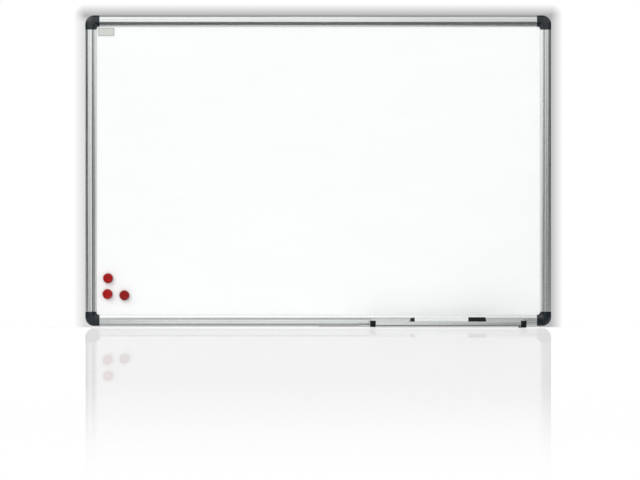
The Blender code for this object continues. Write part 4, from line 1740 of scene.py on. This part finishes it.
@dataclass(frozen=True)
class Magnet:
    """A round magnet: a moulded cap with a raised rim and a dished face, over a ferrite disc."""

    name: str
    colour: str
    other: str
    radius: float = 10 * MM
    top_radius: float = 9.2 * MM
    height: float = 7.8 * MM
    edge_round: float = 1.4 * MM
    rim_inner: float = 6.9 * MM
    rim_slope: float = 0.8 * MM
    dish_depth: float = 0.5 * MM
    dish_rise: float = 0.225 * MM
    face_steps: int = 8
    wall: float = 1.3 * MM
    disc_height: float = 4.5 * MM
    disc_edge: float = 0.25 * MM
    foot_height: float = 0.9 * MM
    foot_round: float = 0.3 * MM
    steps: int = 72

    def cap(self) -> Outline:
        """The cap, from the recess over the mouth to the face.

        Returns:
            (radius, height) points.
        """
        recess = self.radius - self.wall
        top = self.disc_height + SEAT_GAP
        edge_centre = (self.top_radius - self.edge_round, self.height - self.edge_round)
        inner, foot = self.rim_inner - self.rim_slope, self.height - self.dish_depth
        outline = [
            (0, top),
            (recess, top),
            (recess, 0),
            (self.radius, 0),
            (self.radius, self.foot_height),
            *arc(edge_centre, self.edge_round, 0, 1, self.face_steps),
            (self.rim_inner, self.height),
            (inner, foot),
        ]
        shares = [(i + 1) / self.face_steps for i in range(self.face_steps)]
        dish = [(inner * (1 - s), foot + self.dish_rise * math.sin(s * QUARTER)) for s in shares]
        return [*softened(outline, self.foot_round, False), *dish]

    def disc(self) -> Outline:
        """The disc, with both edges broken.

        Returns:
            (radius, height) points.
        """
        radius, height, edge = self.radius - self.wall - SEAT_GAP, self.disc_height, self.disc_edge
        return [
            (0, 0),
            (radius - edge, 0),
            (radius, edge),
            (radius, height - edge),
            (radius - edge, height),
            (0, height),
        ]

    def build(self) -> None:
        """Makes the cap and the disc, which move together."""
        name = self.name
        low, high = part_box(f"{name}_cap")
        middle = (low + high) / 2
        place = forward_at(middle.x, middle.z, -high.y)
        red = replace(RED_ABS, name=f"red_abs_{name}", colour=self.colour, other=self.other)
        for title, node, finish, outline in (
            ("shell", "cap", red, self.cap()),
            ("ferrite", "disc", FERRITE, self.disc()),
        ):
            mesh = mesh_of(title, turned(outline, self.steps, place))
            finished(f"{name}_{title}", mesh, finish, name, [f"{name}_{node}"])


# The tray and the marker.


@dataclass(frozen=True)
class PenTray:
    """The extruded tray that hooks into the bottom rail's groove, and its two end caps."""

    section: FrameSection
    length: float = 300 * MM
    from_right: float = 50 * MM
    wall: float = 1.2 * MM
    floor: float = 1.4 * MM
    reach: float = 60 * MM
    lip: float = 9 * MM
    lip_round: float = 2.5 * MM
    hook: float = 0.9 * MM
    cap_plate: float = 2 * MM
    cap_cover: float = 10.5 * MM
    cap_wall: float = 1 * MM
    cap_top_wall: float = 1.4 * MM
    cap_rear_height: float = 10.5 * MM
    cap_round: float = 1.5 * MM
    cap_edge: float = 0.25 * MM
    cap_steps: int = 6
    right_drop: float = 1 * MM
    foot_reach: float = 5 * MM
    foot_depth: float = 4 * MM
    foot_drop: float = 0.3 * MM
    steps: int = 10

    @property
    def carrier(self) -> Vector:
        """The middle of the tray, at the bottom rail's outer edge and the wall."""
        x = self.section.board_width / 2 - self.from_right - self.length / 2
        return self.section.centre + Vector((x, 0, -self.section.half_height))

    def outline(self) -> Outline:
        """The tray's section, from the hook over the floor to the lip.

        Returns:
            (w, height) points.
        """
        section, steps = self.section, self.steps
        back = section.depth + SEAT_GAP
        slot_back = section.channel_front + section.slot_wall
        barb_back = slot_back + SEAT_GAP
        barb_front = slot_back + section.slot_depth - SEAT_GAP
        barb_end = section.groove_outer - section.slot_undercut + SEAT_GAP
        hook_top = section.groove_inner - SEAT_GAP
        hook_under = hook_top - self.hook
        inner = back + self.wall
        half = self.wall / 2
        radius = self.lip_round - self.wall
        outer_centre = (self.reach - self.lip_round, self.lip_round)
        inner_centre = (self.reach - self.wall - radius, self.floor + radius)
        outline = [
            (back, 0),
            *arc(outer_centre, self.lip_round, -1, 0, steps),
            *arc((self.reach - half, self.lip - half), half, 0, 2, steps),
            *arc(inner_centre, radius, 0, -1, steps),
            (inner, self.floor),
            (inner, hook_top),
            (barb_back, hook_top),
            (barb_back, barb_end),
            (barb_front, barb_end),
            (barb_front, hook_under),
            (back, hook_under),
        ]
        return softened(outline, section.edge_break)

    def cap(self, side: int) -> Mesh:
        """An end cap about the carrier.

        Args:
            side: 1 for the right one, which sits lower and has a foot, and -1 for the left one.

        Returns:
            The mesh.
        """
        reach = self.reach + SEAT_GAP
        outer = reach + self.cap_wall
        inner = self.reach - self.wall - SEAT_GAP - self.cap_wall
        bottom = -SEAT_GAP - self.cap_wall - (self.right_drop if side > 0 else 0)
        top = self.lip + SEAT_GAP + self.cap_top_wall
        back = self.section.depth + SEAT_GAP
        centre = outer - self.cap_round
        nose = [
            *arc((centre, bottom + self.cap_round), self.cap_round, -1, 0, self.cap_steps),
            *arc((centre, top - self.cap_round), self.cap_round, 0, 1, self.cap_steps),
        ]
        plate = [(back, bottom), *nose, (inner, top), (back, self.cap_rear_height)]
        end = self.length / 2
        seat, rim = end - self.cap_plate, end - self.cap_cover
        sleeve = [(inner, bottom), *nose, (inner, top)]
        steps = [("UNION", sleeve, rim, end - self.cap_plate / 2)]
        if side > 0:
            rear, low = outer - self.foot_depth, bottom - self.foot_drop
            foot = [(centre, low), (rear, low), (rear, -SEAT_GAP), (centre, -SEAT_GAP)]
            steps.append(("UNION", foot, rim - self.foot_reach, seat))
        lip_back = reach - self.wall - 2 * SEAT_GAP
        lip_top = self.lip + SEAT_GAP
        floor_top = self.floor + SEAT_GAP
        radius = self.lip_round - self.wall
        room = [
            (back - CUT_OVERRUN, -SEAT_GAP),
            (reach, -SEAT_GAP),
            (reach, lip_top),
            (lip_back, lip_top),
            (lip_back, floor_top + radius),
            (lip_back - radius, floor_top),
            (back - CUT_OVERRUN, floor_top),
        ]
        steps.append(("DIFFERENCE", room, rim - self.foot_reach - CUT_OVERRUN, seat))
        body = mesh_of("cap", bar(plate, side * seat, side * end))
        added = [
            (operation, mesh_of("cap_step", bar(outline, side * start, side * stop)))
            for operation, outline, start, stop in steps
        ]
        return bevelled(carved(body, added), self.cap_edge)

    def build(self) -> None:
        """Makes the tray and its caps."""
        half = self.length / 2 - self.cap_plate - SEAT_GAP
        # The section's X is w and its Y is height, and it is pressed along +X.
        axes = Matrix(((0, 0, 1, -half), (-1, 0, 0, 0), (0, 1, 0, 0), (0, 0, 0, 1)))
        place = Matrix.Translation(self.carrier)
        tray = extruded([self.outline()], 2 * half, RAIL_LEVEL, place @ axes)
        finished("pen_tray_extrusion", tray, RAIL_LEVEL, TRAY_BODY, ["pen_tray"])
        for side, name in ((-1, "tray_cap_left"), (1, "tray_cap_right")):
            mesh = self.cap(side)
            mesh.transform(place)
            finished(f"{name}_moulding", mesh, TRAY_PLASTIC, TRAY_BODY, [name])


@dataclass(frozen=True)
class Marker:
    """The marker in the tray, turned about one axis from its tail to the end of its cap."""

    length: float = 145.5 * MM
    radius: float = 8 * MM
    barrel_wall: float = 1.2 * MM
    barrel_round: float = 0.5 * MM
    barrel_steps: int = 5
    tail_length: float = 8.3 * MM
    tail_radius: float = 5.8 * MM
    tail_base: float = 7.4 * MM
    tail_round: float = 0.7 * MM
    tail_round_end: float = -0.1
    tail_steps: int = 6
    dimple_depth: float = 0.5 * MM
    dimple_floor: float = 2.4 * MM
    dimple_mouth: float = 2.8 * MM
    shoulder_step: float = 0.2 * MM
    shoulder_height: float = 0.4 * MM
    spigot: float = 6 * MM
    cap_length: float = 33.8 * MM
    cap_radius: float = 7.7 * MM
    cap_wall: float = 1.0 * MM
    cap_round: float = 3.0 * MM
    cap_edge: float = 0.15 * MM
    cap_steps: int = 10
    seam_from_end: float = 11.2 * MM
    seam_width: float = 0.5 * MM
    seam_depth: float = 0.4 * MM
    collar: float = 7 * MM
    straight: float = 11 * MM
    bead: float = 0.25 * MM
    cone: float = 6 * MM
    tip_radius: float = 3.6 * MM
    holder_round: float = 0.4 * MM
    nib_radius: float = 2.4 * MM
    nib_out: float = 5.5 * MM
    nib_steps: int = 8
    steps: int = 64

    @property
    def barrel_end(self) -> float:
        """Where the barrel meets the cap."""
        return self.length - self.cap_length - SEAT_GAP

    @property
    def bore(self) -> float:
        """The barrel's inner radius."""
        return self.radius - self.barrel_wall

    def tail(self) -> Outline:
        """The tail plug: a blunt cone with a dimple in its end and a spigot in the barrel.

        Returns:
            (radius, height) points.
        """
        fit = self.bore - SEAT_GAP
        base = self.tail_length - SEAT_GAP
        end = self.tail_length + self.spigot
        shoulder = self.tail_base - self.shoulder_step
        centre = (self.tail_radius - self.tail_round, self.tail_round)
        return [
            (0, self.dimple_depth),
            (self.dimple_floor, self.dimple_depth),
            (self.dimple_mouth, 0),
            *arc(centre, self.tail_round, -1, self.tail_round_end, self.tail_steps),
            (shoulder, base - self.shoulder_height),
            (shoulder, base),
            (fit, base),
            (fit, end),
            (0, end),
        ]

    def barrel(self) -> Outline:
        """The barrel: a plain tube with rounded ends.

        Returns:
            (radius, height) points.
        """
        start, end = self.tail_length, self.barrel_end
        outline = [(self.bore, start), (self.radius, start), (self.radius, end), (self.bore, end)]
        return softened(outline, self.barrel_round, steps=self.barrel_steps)

    def holder(self) -> Outline:
        """The nib holder: a collar in the barrel, the neck that the cap grips, and the cone.

        Returns:
            (radius, height) points.
        """
        hole = self.nib_radius + SEAT_GAP
        fit = self.bore - SEAT_GAP
        grip = self.cap_radius - self.cap_wall - SEAT_GAP
        neck = grip - self.bead
        cone_start = self.barrel_end + self.straight
        cone_end = cone_start + self.cone
        start = self.barrel_end - self.collar
        middle = self.barrel_end + self.straight / 2
        outline = [
            (hole, start),
            (fit, start),
            (fit, self.barrel_end),
            (neck, self.barrel_end),
            (neck, middle - 2 * self.bead),
            (grip, middle),
            (neck, middle + 2 * self.bead),
            (neck, cone_start),
            (self.tip_radius, cone_end),
            (hole, cone_end),
        ]
        return softened(outline, self.holder_round)

    def reservoir(self) -> Outline:
        """The felt between the tail plug and the nib holder.

        Returns:
            (radius, height) points.
        """
        start = self.tail_length + self.spigot + SEAT_GAP
        end = self.barrel_end - self.collar - SEAT_GAP
        fit = self.bore - SEAT_GAP
        return [(0, start), (fit, start), (fit, end), (0, end)]

    def nib(self) -> Outline:
        """The bullet-shaped nib.

        Returns:
            (radius, height) points.
        """
        start = self.barrel_end - self.collar
        end = self.barrel_end + self.straight + self.cone + self.nib_out
        tip = arc((0, end - self.nib_radius), self.nib_radius, 0, 1, self.nib_steps)
        return [(0, start), (self.nib_radius, start), *tip[:-1], (0, end)]

    def cap(self) -> Outline:
        """The cap: bore, mouth, side with its seam, and a round end.

        Returns:
            (radius, height) points.
        """
        bore = self.cap_radius - self.cap_wall
        bottom = self.length - self.cap_wall - self.cap_round / 2
        start = self.barrel_end + SEAT_GAP
        seam = self.length - self.seam_from_end
        seam_end = seam + self.seam_width
        low = self.cap_radius - self.seam_depth
        centre = (self.cap_radius - self.cap_round, self.length - self.cap_round)
        outline = [
            (0, bottom),
            (bore, bottom),
            (bore, start),
            (self.cap_radius, start),
            (self.cap_radius, seam),
            (low, seam),
            (low, seam_end),
            (self.cap_radius, seam_end),
            *arc(centre, self.cap_round, 0, 1, self.cap_steps),
            (0, self.length),
        ]
        return softened(outline, self.cap_edge, False)

    def build(self) -> None:
        """Makes the marker's six parts in their solids' place."""
        low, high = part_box("marker_tail_plug")
        middle = (low + high) / 2
        place = Matrix.Translation((low.x, middle.y, middle.z)) @ Matrix.Rotation(QUARTER, 4, "Y")
        for name, finish, outline, body in (
            ("tail_plug", MARKER_PLASTIC, self.tail(), MARKER_BODY),
            ("barrel", BARREL_PLASTIC, self.barrel(), MARKER_BODY),
            ("nib_holder", HOLDER_PLASTIC, self.holder(), MARKER_BODY),
            ("reservoir", FELT, self.reservoir(), MARKER_BODY),
            ("nib", FELT, self.nib(), MARKER_BODY),
            ("cap", MARKER_PLASTIC, self.cap(), MARKER_CAP_BODY),
        ):
            mesh = mesh_of(name, turned(outline, self.steps, place))
            node = f"marker_{name}"
            finished(f"{node}_turned", mesh, finish, body, [node])


# The studio.


def lifted(tree: Tree, tone: Any) -> Any:
    """Adds the tone that the floor's mirror shows of the backdrop.

    Args:
        tree: A stage material's or the world's node tree.
        tone: The backdrop's tone on the other rays.

    Returns:
        The node that gives the tone on all rays.
    """
    mirrored = add_node(tree, "ShaderNodeLightPath").outputs["Is Singular Ray"]
    white = add_node(tree, MATH, {0: mirrored, 1: MIRRORED_WHITE}, operation="MULTIPLY")
    return add_node(tree, MATH, {0: tone, 1: white}, operation="MAXIMUM")


def backdrop_rays(tree: Tree) -> Any:
    """Adds what tells the rays that see the backdrop from those that only carry its light.

    Args:
        tree: A stage material's or the world's node tree.

    Returns:
        The node that gives 1 on camera, glossy and transmission rays, and 0 on the others.
    """
    rays = add_node(tree, "ShaderNodeLightPath").outputs
    share: Any = 0.0
    for kind in ("Is Camera Ray", "Is Glossy Ray", "Is Transmission Ray"):
        share = add_node(tree, MATH, {0: rays[kind], 1: share}, operation="MAXIMUM")
    return share


@dataclass(frozen=True)
class Screen:
    """A flat sheet of the studio, which glows on its front and is clear from behind."""

    name: str
    unseen_by: ClassVar[tuple[str, ...]] = ("diffuse", "transmission", "shadow")

    def tone(self, tree: Tree) -> Any:
        """The sheet's tone, 1 for white, as a number or a node."""
        return 1.0

    def passing(self, tree: Tree, rays: Any) -> Any:
        """1 on the rays that the sheet's front lets through as well."""
        return rays["Is Singular Ray"]

    def surface(self, tree: Tree) -> Any:
        """Adds the sheet's shader.

        Args:
            tree: The material's node tree.

        Returns:
            The shader's last node.
        """
        glow = add_node(tree, "ShaderNodeEmission", {"Strength": self.tone(tree)})
        clear = add_node(tree, "ShaderNodeBsdfTransparent")
        behind = add_node(tree, "ShaderNodeNewGeometry").outputs["Backfacing"]
        rays = add_node(tree, "ShaderNodeLightPath").outputs
        gone = add_node(tree, MATH, {0: behind, 1: self.passing(tree, rays)}, operation="MAXIMUM")
        return add_node(tree, "ShaderNodeMixShader", {0: gone, 1: glow, 2: clear})

    def put_up(self, corners: Sequence[Sequence[float]]) -> None:
        """Makes the sheet between four corners.

        Args:
            corners: The corners, anticlockwise as seen from the front.
        """
        material = bpy.data.materials.new(f"studio_{self.name}")
        material.use_nodes = True
        tree = material.node_tree
        tree.nodes.clear()
        add_node(tree, "ShaderNodeOutputMaterial", {"Surface": self.surface(tree)})
        mesh = bpy.data.meshes.new(self.name)
        mesh.from_pydata(corners, [], [(0, 1, 2, 3)])
        mesh.materials.append(material)
        made = shown(self.name, mesh)
        for rays in self.unseen_by:
            setattr(made, f"visible_{rays}", False)
        made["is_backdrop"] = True


@dataclass(frozen=True)
class Card(Screen):
    """A plain card beside the object, which only satin and gloss reflect."""

    middle: Triple
    facing: Triple
    width: float
    height: float
    level: float
    unseen_by: ClassVar[tuple[str, ...]] = (*Screen.unseen_by, "camera")

    def tone(self, tree: Tree) -> Any:
        """The card's one tone."""
        return self.level

    def build(self) -> None:
        """Puts the card up."""
        aim = Vector(self.facing).to_track_quat("Z", "Y").to_matrix().to_4x4()
        place = Matrix.Translation(self.middle) @ aim
        x, y = self.width / 2, self.height / 2
        corners = ((-x, -y, 0), (x, -y, 0), (x, y, 0), (-x, y, 0))
        self.put_up([place @ Vector(spot) for spot in corners])


@dataclass(frozen=True)
class SoftBox(Card):
    """The front screen: a dim card with a broad lamp in it that narrows towards its foot."""

    across: Fade = Fade(-0.1, 0.45, 0.79, 0.56)
    edge: Fade = Fade(0.75, 1.3, 1.0, 0.0)
    foot: Fade = Fade(-0.90, -0.72, 0.0, 1.0)
    low: Fade = Fade(-0.6, -0.46, 1.45, 1.0)
    head: Fade = Fade(-0.1, 0.2, 1.0, 1.55)
    top: Fade = Fade(0.6, 1.2, 1.0, 0.5)
    beyond: Fade = Fade(0.5, 1.2, 0.0, 0.2)
    foot_middle: float = -0.03
    foot_half: float = 0.415
    leaning: float = -0.35
    widening: float = 1.5

    def tone(self, tree: Tree) -> Any:
        """Adds the lamp's shape.

        Args:
            tree: The material's node tree.

        Returns:
            The node that gives the tone.
        """
        place = add_node(tree, "ShaderNodeTexCoord").outputs["Object"]
        parts = add_node(tree, "ShaderNodeSeparateXYZ", {"Vector": place}).outputs
        x, z = parts["X"], parts["Z"]
        raised = add_node(tree, MATH, {0: z, 1: self.foot.end}, operation="SUBTRACT")
        leans = {0: raised, 1: self.leaning, 2: self.foot_middle}
        middle = add_node(tree, MATH, leans, operation="MULTIPLY_ADD")
        moved = add_node(tree, MATH, {0: x, 1: middle}, operation="SUBTRACT")
        away = add_node(tree, MATH, {0: moved}, operation="ABSOLUTE")
        square = add_node(tree, MATH, {0: raised, 1: raised}, operation="MULTIPLY")
        widens = {0: square, 1: self.widening, 2: self.foot_half}
        half = add_node(tree, MATH, widens, operation="MULTIPLY_ADD")
        share = add_node(tree, MATH, {0: away, 1: half}, operation="DIVIDE")
        aside = add_node(tree, MATH, {0: x}, operation="ABSOLUTE")
        tone: Any = 1.0
        for value, fade, operation in (
            (share, self.edge, "MULTIPLY"),
            (z, self.foot, "MULTIPLY"),
            (z, self.low, "MULTIPLY"),
            (x, self.across, "MULTIPLY"),
            (z, self.head, "MULTIPLY"),
            (z, self.top, "MULTIPLY"),
            (aside, self.beyond, "ADD"),
        ):
            inputs = {"Value": value, **fade.limits()}
            step = add_node(tree, RANGE, inputs, interpolation_type="SMOOTHSTEP")
            tone = add_node(tree, MATH, {0: step, 1: tone}, operation=operation)
        return add_node(tree, MATH, {0: tone, 1: self.level}, operation="ADD")


@dataclass(frozen=True)
class Wall(Screen):
    """The white wall behind the board, with a soft shadow round the frame painted into its tone.
    """

    section: FrameSection
    half_width: float = 30.0
    height: float = 9.0
    # How far the painted shadow reaches from the frame, and how dark it is at the top and at each
    # side.
    reach: float = 23 * MM
    top_depth: float = 0.575
    left_depth: float = 0.30
    right_depth: float = 0.51

    def passing(self, tree: Tree, rays: Any) -> Any:
        """Satin and gloss see through the wall. The floor's mirror doesn't."""
        kinds = {0: rays["Is Glossy Ray"], 1: rays["Is Singular Ray"]}
        return add_node(tree, MATH, kinds, operation="SUBTRACT")

    def tone(self, tree: Tree) -> Any:
        """Adds the painted shadow: deepest at the frame, gone a finger's width away.

        Args:
            tree: The material's node tree.

        Returns:
            The node that gives the wall's tone, 1 outside the painted shadow.
        """
        place = add_node(tree, "ShaderNodeTexCoord").outputs["Object"]
        parts = add_node(tree, "ShaderNodeSeparateXYZ", {"Vector": place}).outputs
        x, z = parts["X"], parts["Z"]
        section = self.section
        edge = section.half_width + section.proud
        top = section.centre.z + section.half_height + section.proud
        aside = add_node(tree, MATH, {0: x}, operation="ABSOLUTE")
        gaps = []
        for value, limit in ((aside, edge), (z, top)):
            gap = add_node(tree, MATH, {0: value, 1: limit}, operation="SUBTRACT")
            gaps.append(add_node(tree, MATH, {0: gap, 1: 0.0}, operation="MAXIMUM"))
        outside = add_node(tree, "ShaderNodeCombineXYZ", {"X": gaps[0], "Z": gaps[1]})
        away = add_node(tree, "ShaderNodeVectorMath", {0: outside}, operation="LENGTH")
        # Painted shadow: its depth steps from the left side's to the right side's at the middle,
        # rises to the top's near the top edge, and fades with the distance from the frame's
        # outline.
        sides = Fade(-MM, MM, self.left_depth, self.right_depth)
        side = add_node(tree, RANGE, {"Value": x, **sides.limits()})
        rise = Fade(top - self.reach / 2, top, side, self.top_depth)
        deepest = add_node(tree, RANGE, {"Value": z, **rise.limits()})
        fall = Fade(0.0, self.reach, deepest, 0.0)
        shade = add_node(tree, RANGE, {"Value": away.outputs["Value"], **fall.limits()})
        return lifted(tree, add_node(tree, MATH, {0: 1.0, 1: shade}, operation="SUBTRACT"))

    def build(self) -> None:
        """Puts the wall up. It is clear from behind, so that the back stays in view."""
        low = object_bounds()[0].z
        x, y = self.half_width, SEAT_GAP / 2
        self.put_up([(-x, y, low), (x, y, low), (x, y, self.height), (-x, y, self.height)])


@dataclass(frozen=True)
class Floor(Screen):
    """The pale polished floor at the object's foot, which mirrors it faintly near the wall.

    Satin metal sees the cards under it in its place.
    """

    unseen_by: ClassVar[tuple[str, ...]] = ("glossy",)
    half_size: float = 30.0
    colour: str = "#E6E6E6"
    glow: float = 0.25
    mirror: Fade = Fade(-5.3, -2.9, 0.0, 0.18)
    dimming: float = 0.683

    def surface(self, tree: Tree) -> Any:
        """Adds the floor's shader.

        Args:
            tree: The material's node tree.

        Returns:
            The shader's last node.
        """
        place = add_node(tree, "ShaderNodeTexCoord").outputs["Object"]
        depth = add_node(tree, "ShaderNodeSeparateXYZ", {"Vector": place}).outputs["Y"]
        inputs = {"Value": depth, **self.mirror.limits()}
        near = add_node(tree, RANGE, inputs, interpolation_type="SMOOTHSTEP")
        front = add_node(tree, MATH, {0: depth, 1: 0.0}, operation="LESS_THAN")
        share = add_node(tree, MATH, {0: near, 1: front}, operation="MULTIPLY")
        dims = {0: share, 1: -self.dimming, 2: self.glow}
        level = add_node(tree, MATH, dims, operation="MULTIPLY_ADD")
        rays = backdrop_rays(tree)
        strength = add_node(tree, MATH, {0: rays, 1: level}, operation="MULTIPLY")
        matt = add_node(tree, "ShaderNodeBsdfDiffuse", {"Color": linear(self.colour)})
        glow = add_node(tree, "ShaderNodeEmission", {"Strength": strength})
        pale = add_node(tree, "ShaderNodeAddShader", {0: matt, 1: glow})
        polish = add_node(tree, "ShaderNodeBsdfAnisotropic", {"Color": WHITE, "Roughness": 0.0})
        return add_node(tree, "ShaderNodeMixShader", {0: share, 1: pale, 2: polish})

    def build(self) -> None:
        """Lays the floor."""
        z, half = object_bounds()[0].z, self.half_size
        self.put_up([(-half, -half, z), (half, -half, z), (half, half, z), (-half, half, z)])


@dataclass(frozen=True)
class Studio:
    """Floor, wall, lamps, cards and the camera at the photograph's place."""

    section: FrameSection
    camera_x: float = 3.4 * MM
    camera_below_centre: float = 133.9 * MM
    camera_distance: float = 8.0
    lens: float = 233.1
    sensor: float = 36.0
    far_clip: float = 100.0
    world_fill: float = 0.72
    key_strength: float = 1.22
    key_softness: float = 40.0
    key_from: Triple = (-1.9, -3.0, 2.6)
    # Each card's name, middle, facing, width, height and level.
    cards: tuple[Card, ...] = (
        SoftBox("front_screen", (0, -1.6, 0.45), (0, 1, 0), 2.6, 2.7, 0.12),
        Card("overhead_card", (0, -0.45, 1.3), (0, 0, -1), 1.6, 2.5, 0.35),
        Card("back_card", (0, 0.76, 0.7), (0, -1, 0), 1.6, 1.3, 0.2),
        Card("left_near_flag", (-0.62, -0.49, -0.3), (1, 0, 0), 0.32, 0.7, 0.04),
        Card("left_flag", (-3.1, -1.8, 0.125), (0.841, 0.541, 0), 3.33, 1.75, 0.05),
        Card("left_side_card", (-4, -0.025, 0.125), (1, 0, 0), 0.75, 1.75, 0.3),
        Card("left_rear_flag", (-3.225, 1.9, 0.125), (0.894, -0.447, 0), 3.47, 1.75, 0.04),
        Card("right_near_flag", (0.62, -0.49, -0.3), (-1, 0, 0), 0.32, 0.7, 0.25),
        Card("right_flag", (3.1, -1.8, 0.125), (-0.841, 0.541, 0), 3.33, 1.75, 0.03),
        Card("right_side_card", (4, -0.025, 0.125), (-1, 0, 0), 0.75, 1.75, 0.25),
        Card("right_rear_flag", (3.225, 1.9, 0.125), (-0.894, -0.447, 0), 3.47, 1.75, 0.03),
        Card("rail_foot_card", (-0.2, -0.205, -0.64), (0, 0, 1), 0.56, 0.23, 0.85),
        Card("rail_edge_card", (-0.2, -0.03, -0.64), (0, 0, 1), 0.56, 0.12, 0.36),
        Card("end_foot_card", (0.44, -0.18, -0.64), (0, 0, 1), 0.07, 0.28, 0.5),
        Card("tray_foot_card", (0.25, -0.18, -0.64), (0, 0, 1), 0.29, 0.28, 0.2),
        Card("floor_card", (0, -3.08, -2.7), (0, 0, 1), 2.6, 3.28, 0.11),
        Card("near_floor_card", (0, 0.43, -2.7), (0, 0, 1), 2.6, 3.74, 0.6),
    )

    def build(self) -> None:
        """Makes the whole studio."""
        self.camera()
        self.world()
        self.key()
        Floor("floor").build()
        Wall("wall", self.section).build()
        for card in self.cards:
            card.build()

    def camera(self) -> None:
        """Puts the camera level, straight in front of the board and a little below its middle."""
        data = bpy.data.cameras.new("camera")
        data.lens = self.lens
        data.sensor_width = self.sensor
        data.sensor_fit = "HORIZONTAL"
        data.clip_end = self.far_clip
        made = shown("camera", data)
        z = self.section.centre.z - self.camera_below_centre
        made.location = (self.camera_x, -self.section.depth - self.camera_distance, z)
        made.rotation_euler = (QUARTER, 0, 0)
        bpy.context.scene.camera = made

    def world(self) -> None:
        """White to the camera and to metal, weaker as a lamp."""
        world = bpy.data.worlds.new("studio")
        world.use_nodes = True
        bpy.context.scene.world = world
        tree = world.node_tree
        limits = Fade(0.0, 1.0, self.world_fill, 1.0).limits()
        strength = add_node(tree, RANGE, {"Value": backdrop_rays(tree), **limits})
        background = tree.nodes["Background"]
        background.inputs["Color"].default_value = WHITE
        tree.links.new(lifted(tree, strength).outputs[0], background.inputs["Strength"])

    def key(self) -> None:
        """A soft key lamp from above, in front and left, far enough off to be even."""
        data = bpy.data.lights.new("key", "SUN")
        data.energy = self.key_strength
        data.angle = math.radians(self.key_softness)
        made = shown("key", data)
        made.location = self.key_from
        made.rotation_euler = (-Vector(self.key_from)).to_track_quat("-Z", "Y").to_euler()


def main() -> None:
    """Builds the whiteboard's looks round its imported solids, in its studio."""
    logging.basicConfig(level=logging.INFO, format="%(name)s: %(message)s")
    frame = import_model()
    section = FrameSection()
    hanger = Hanger(section)
    Frame(section, hanger).build()
    hanger.build()
    Panel().build(frame["nodes"])
    LabelPlate().build()
    for name, colour, other in (
        ("magnet_upper", "#9A0406", "#A30A0B"),
        ("magnet_lower_left", "#9C0406", "#A50A0B"),
        ("magnet_lower_right", "#880605", "#910C0A"),
    ):
        Magnet(name, colour, other).build()
    PenTray(section).build()
    Marker().build()
    Studio(section).build()
    bpy.context.scene.view_settings.view_transform = "Standard"


if __name__ == "__main__":
    main()
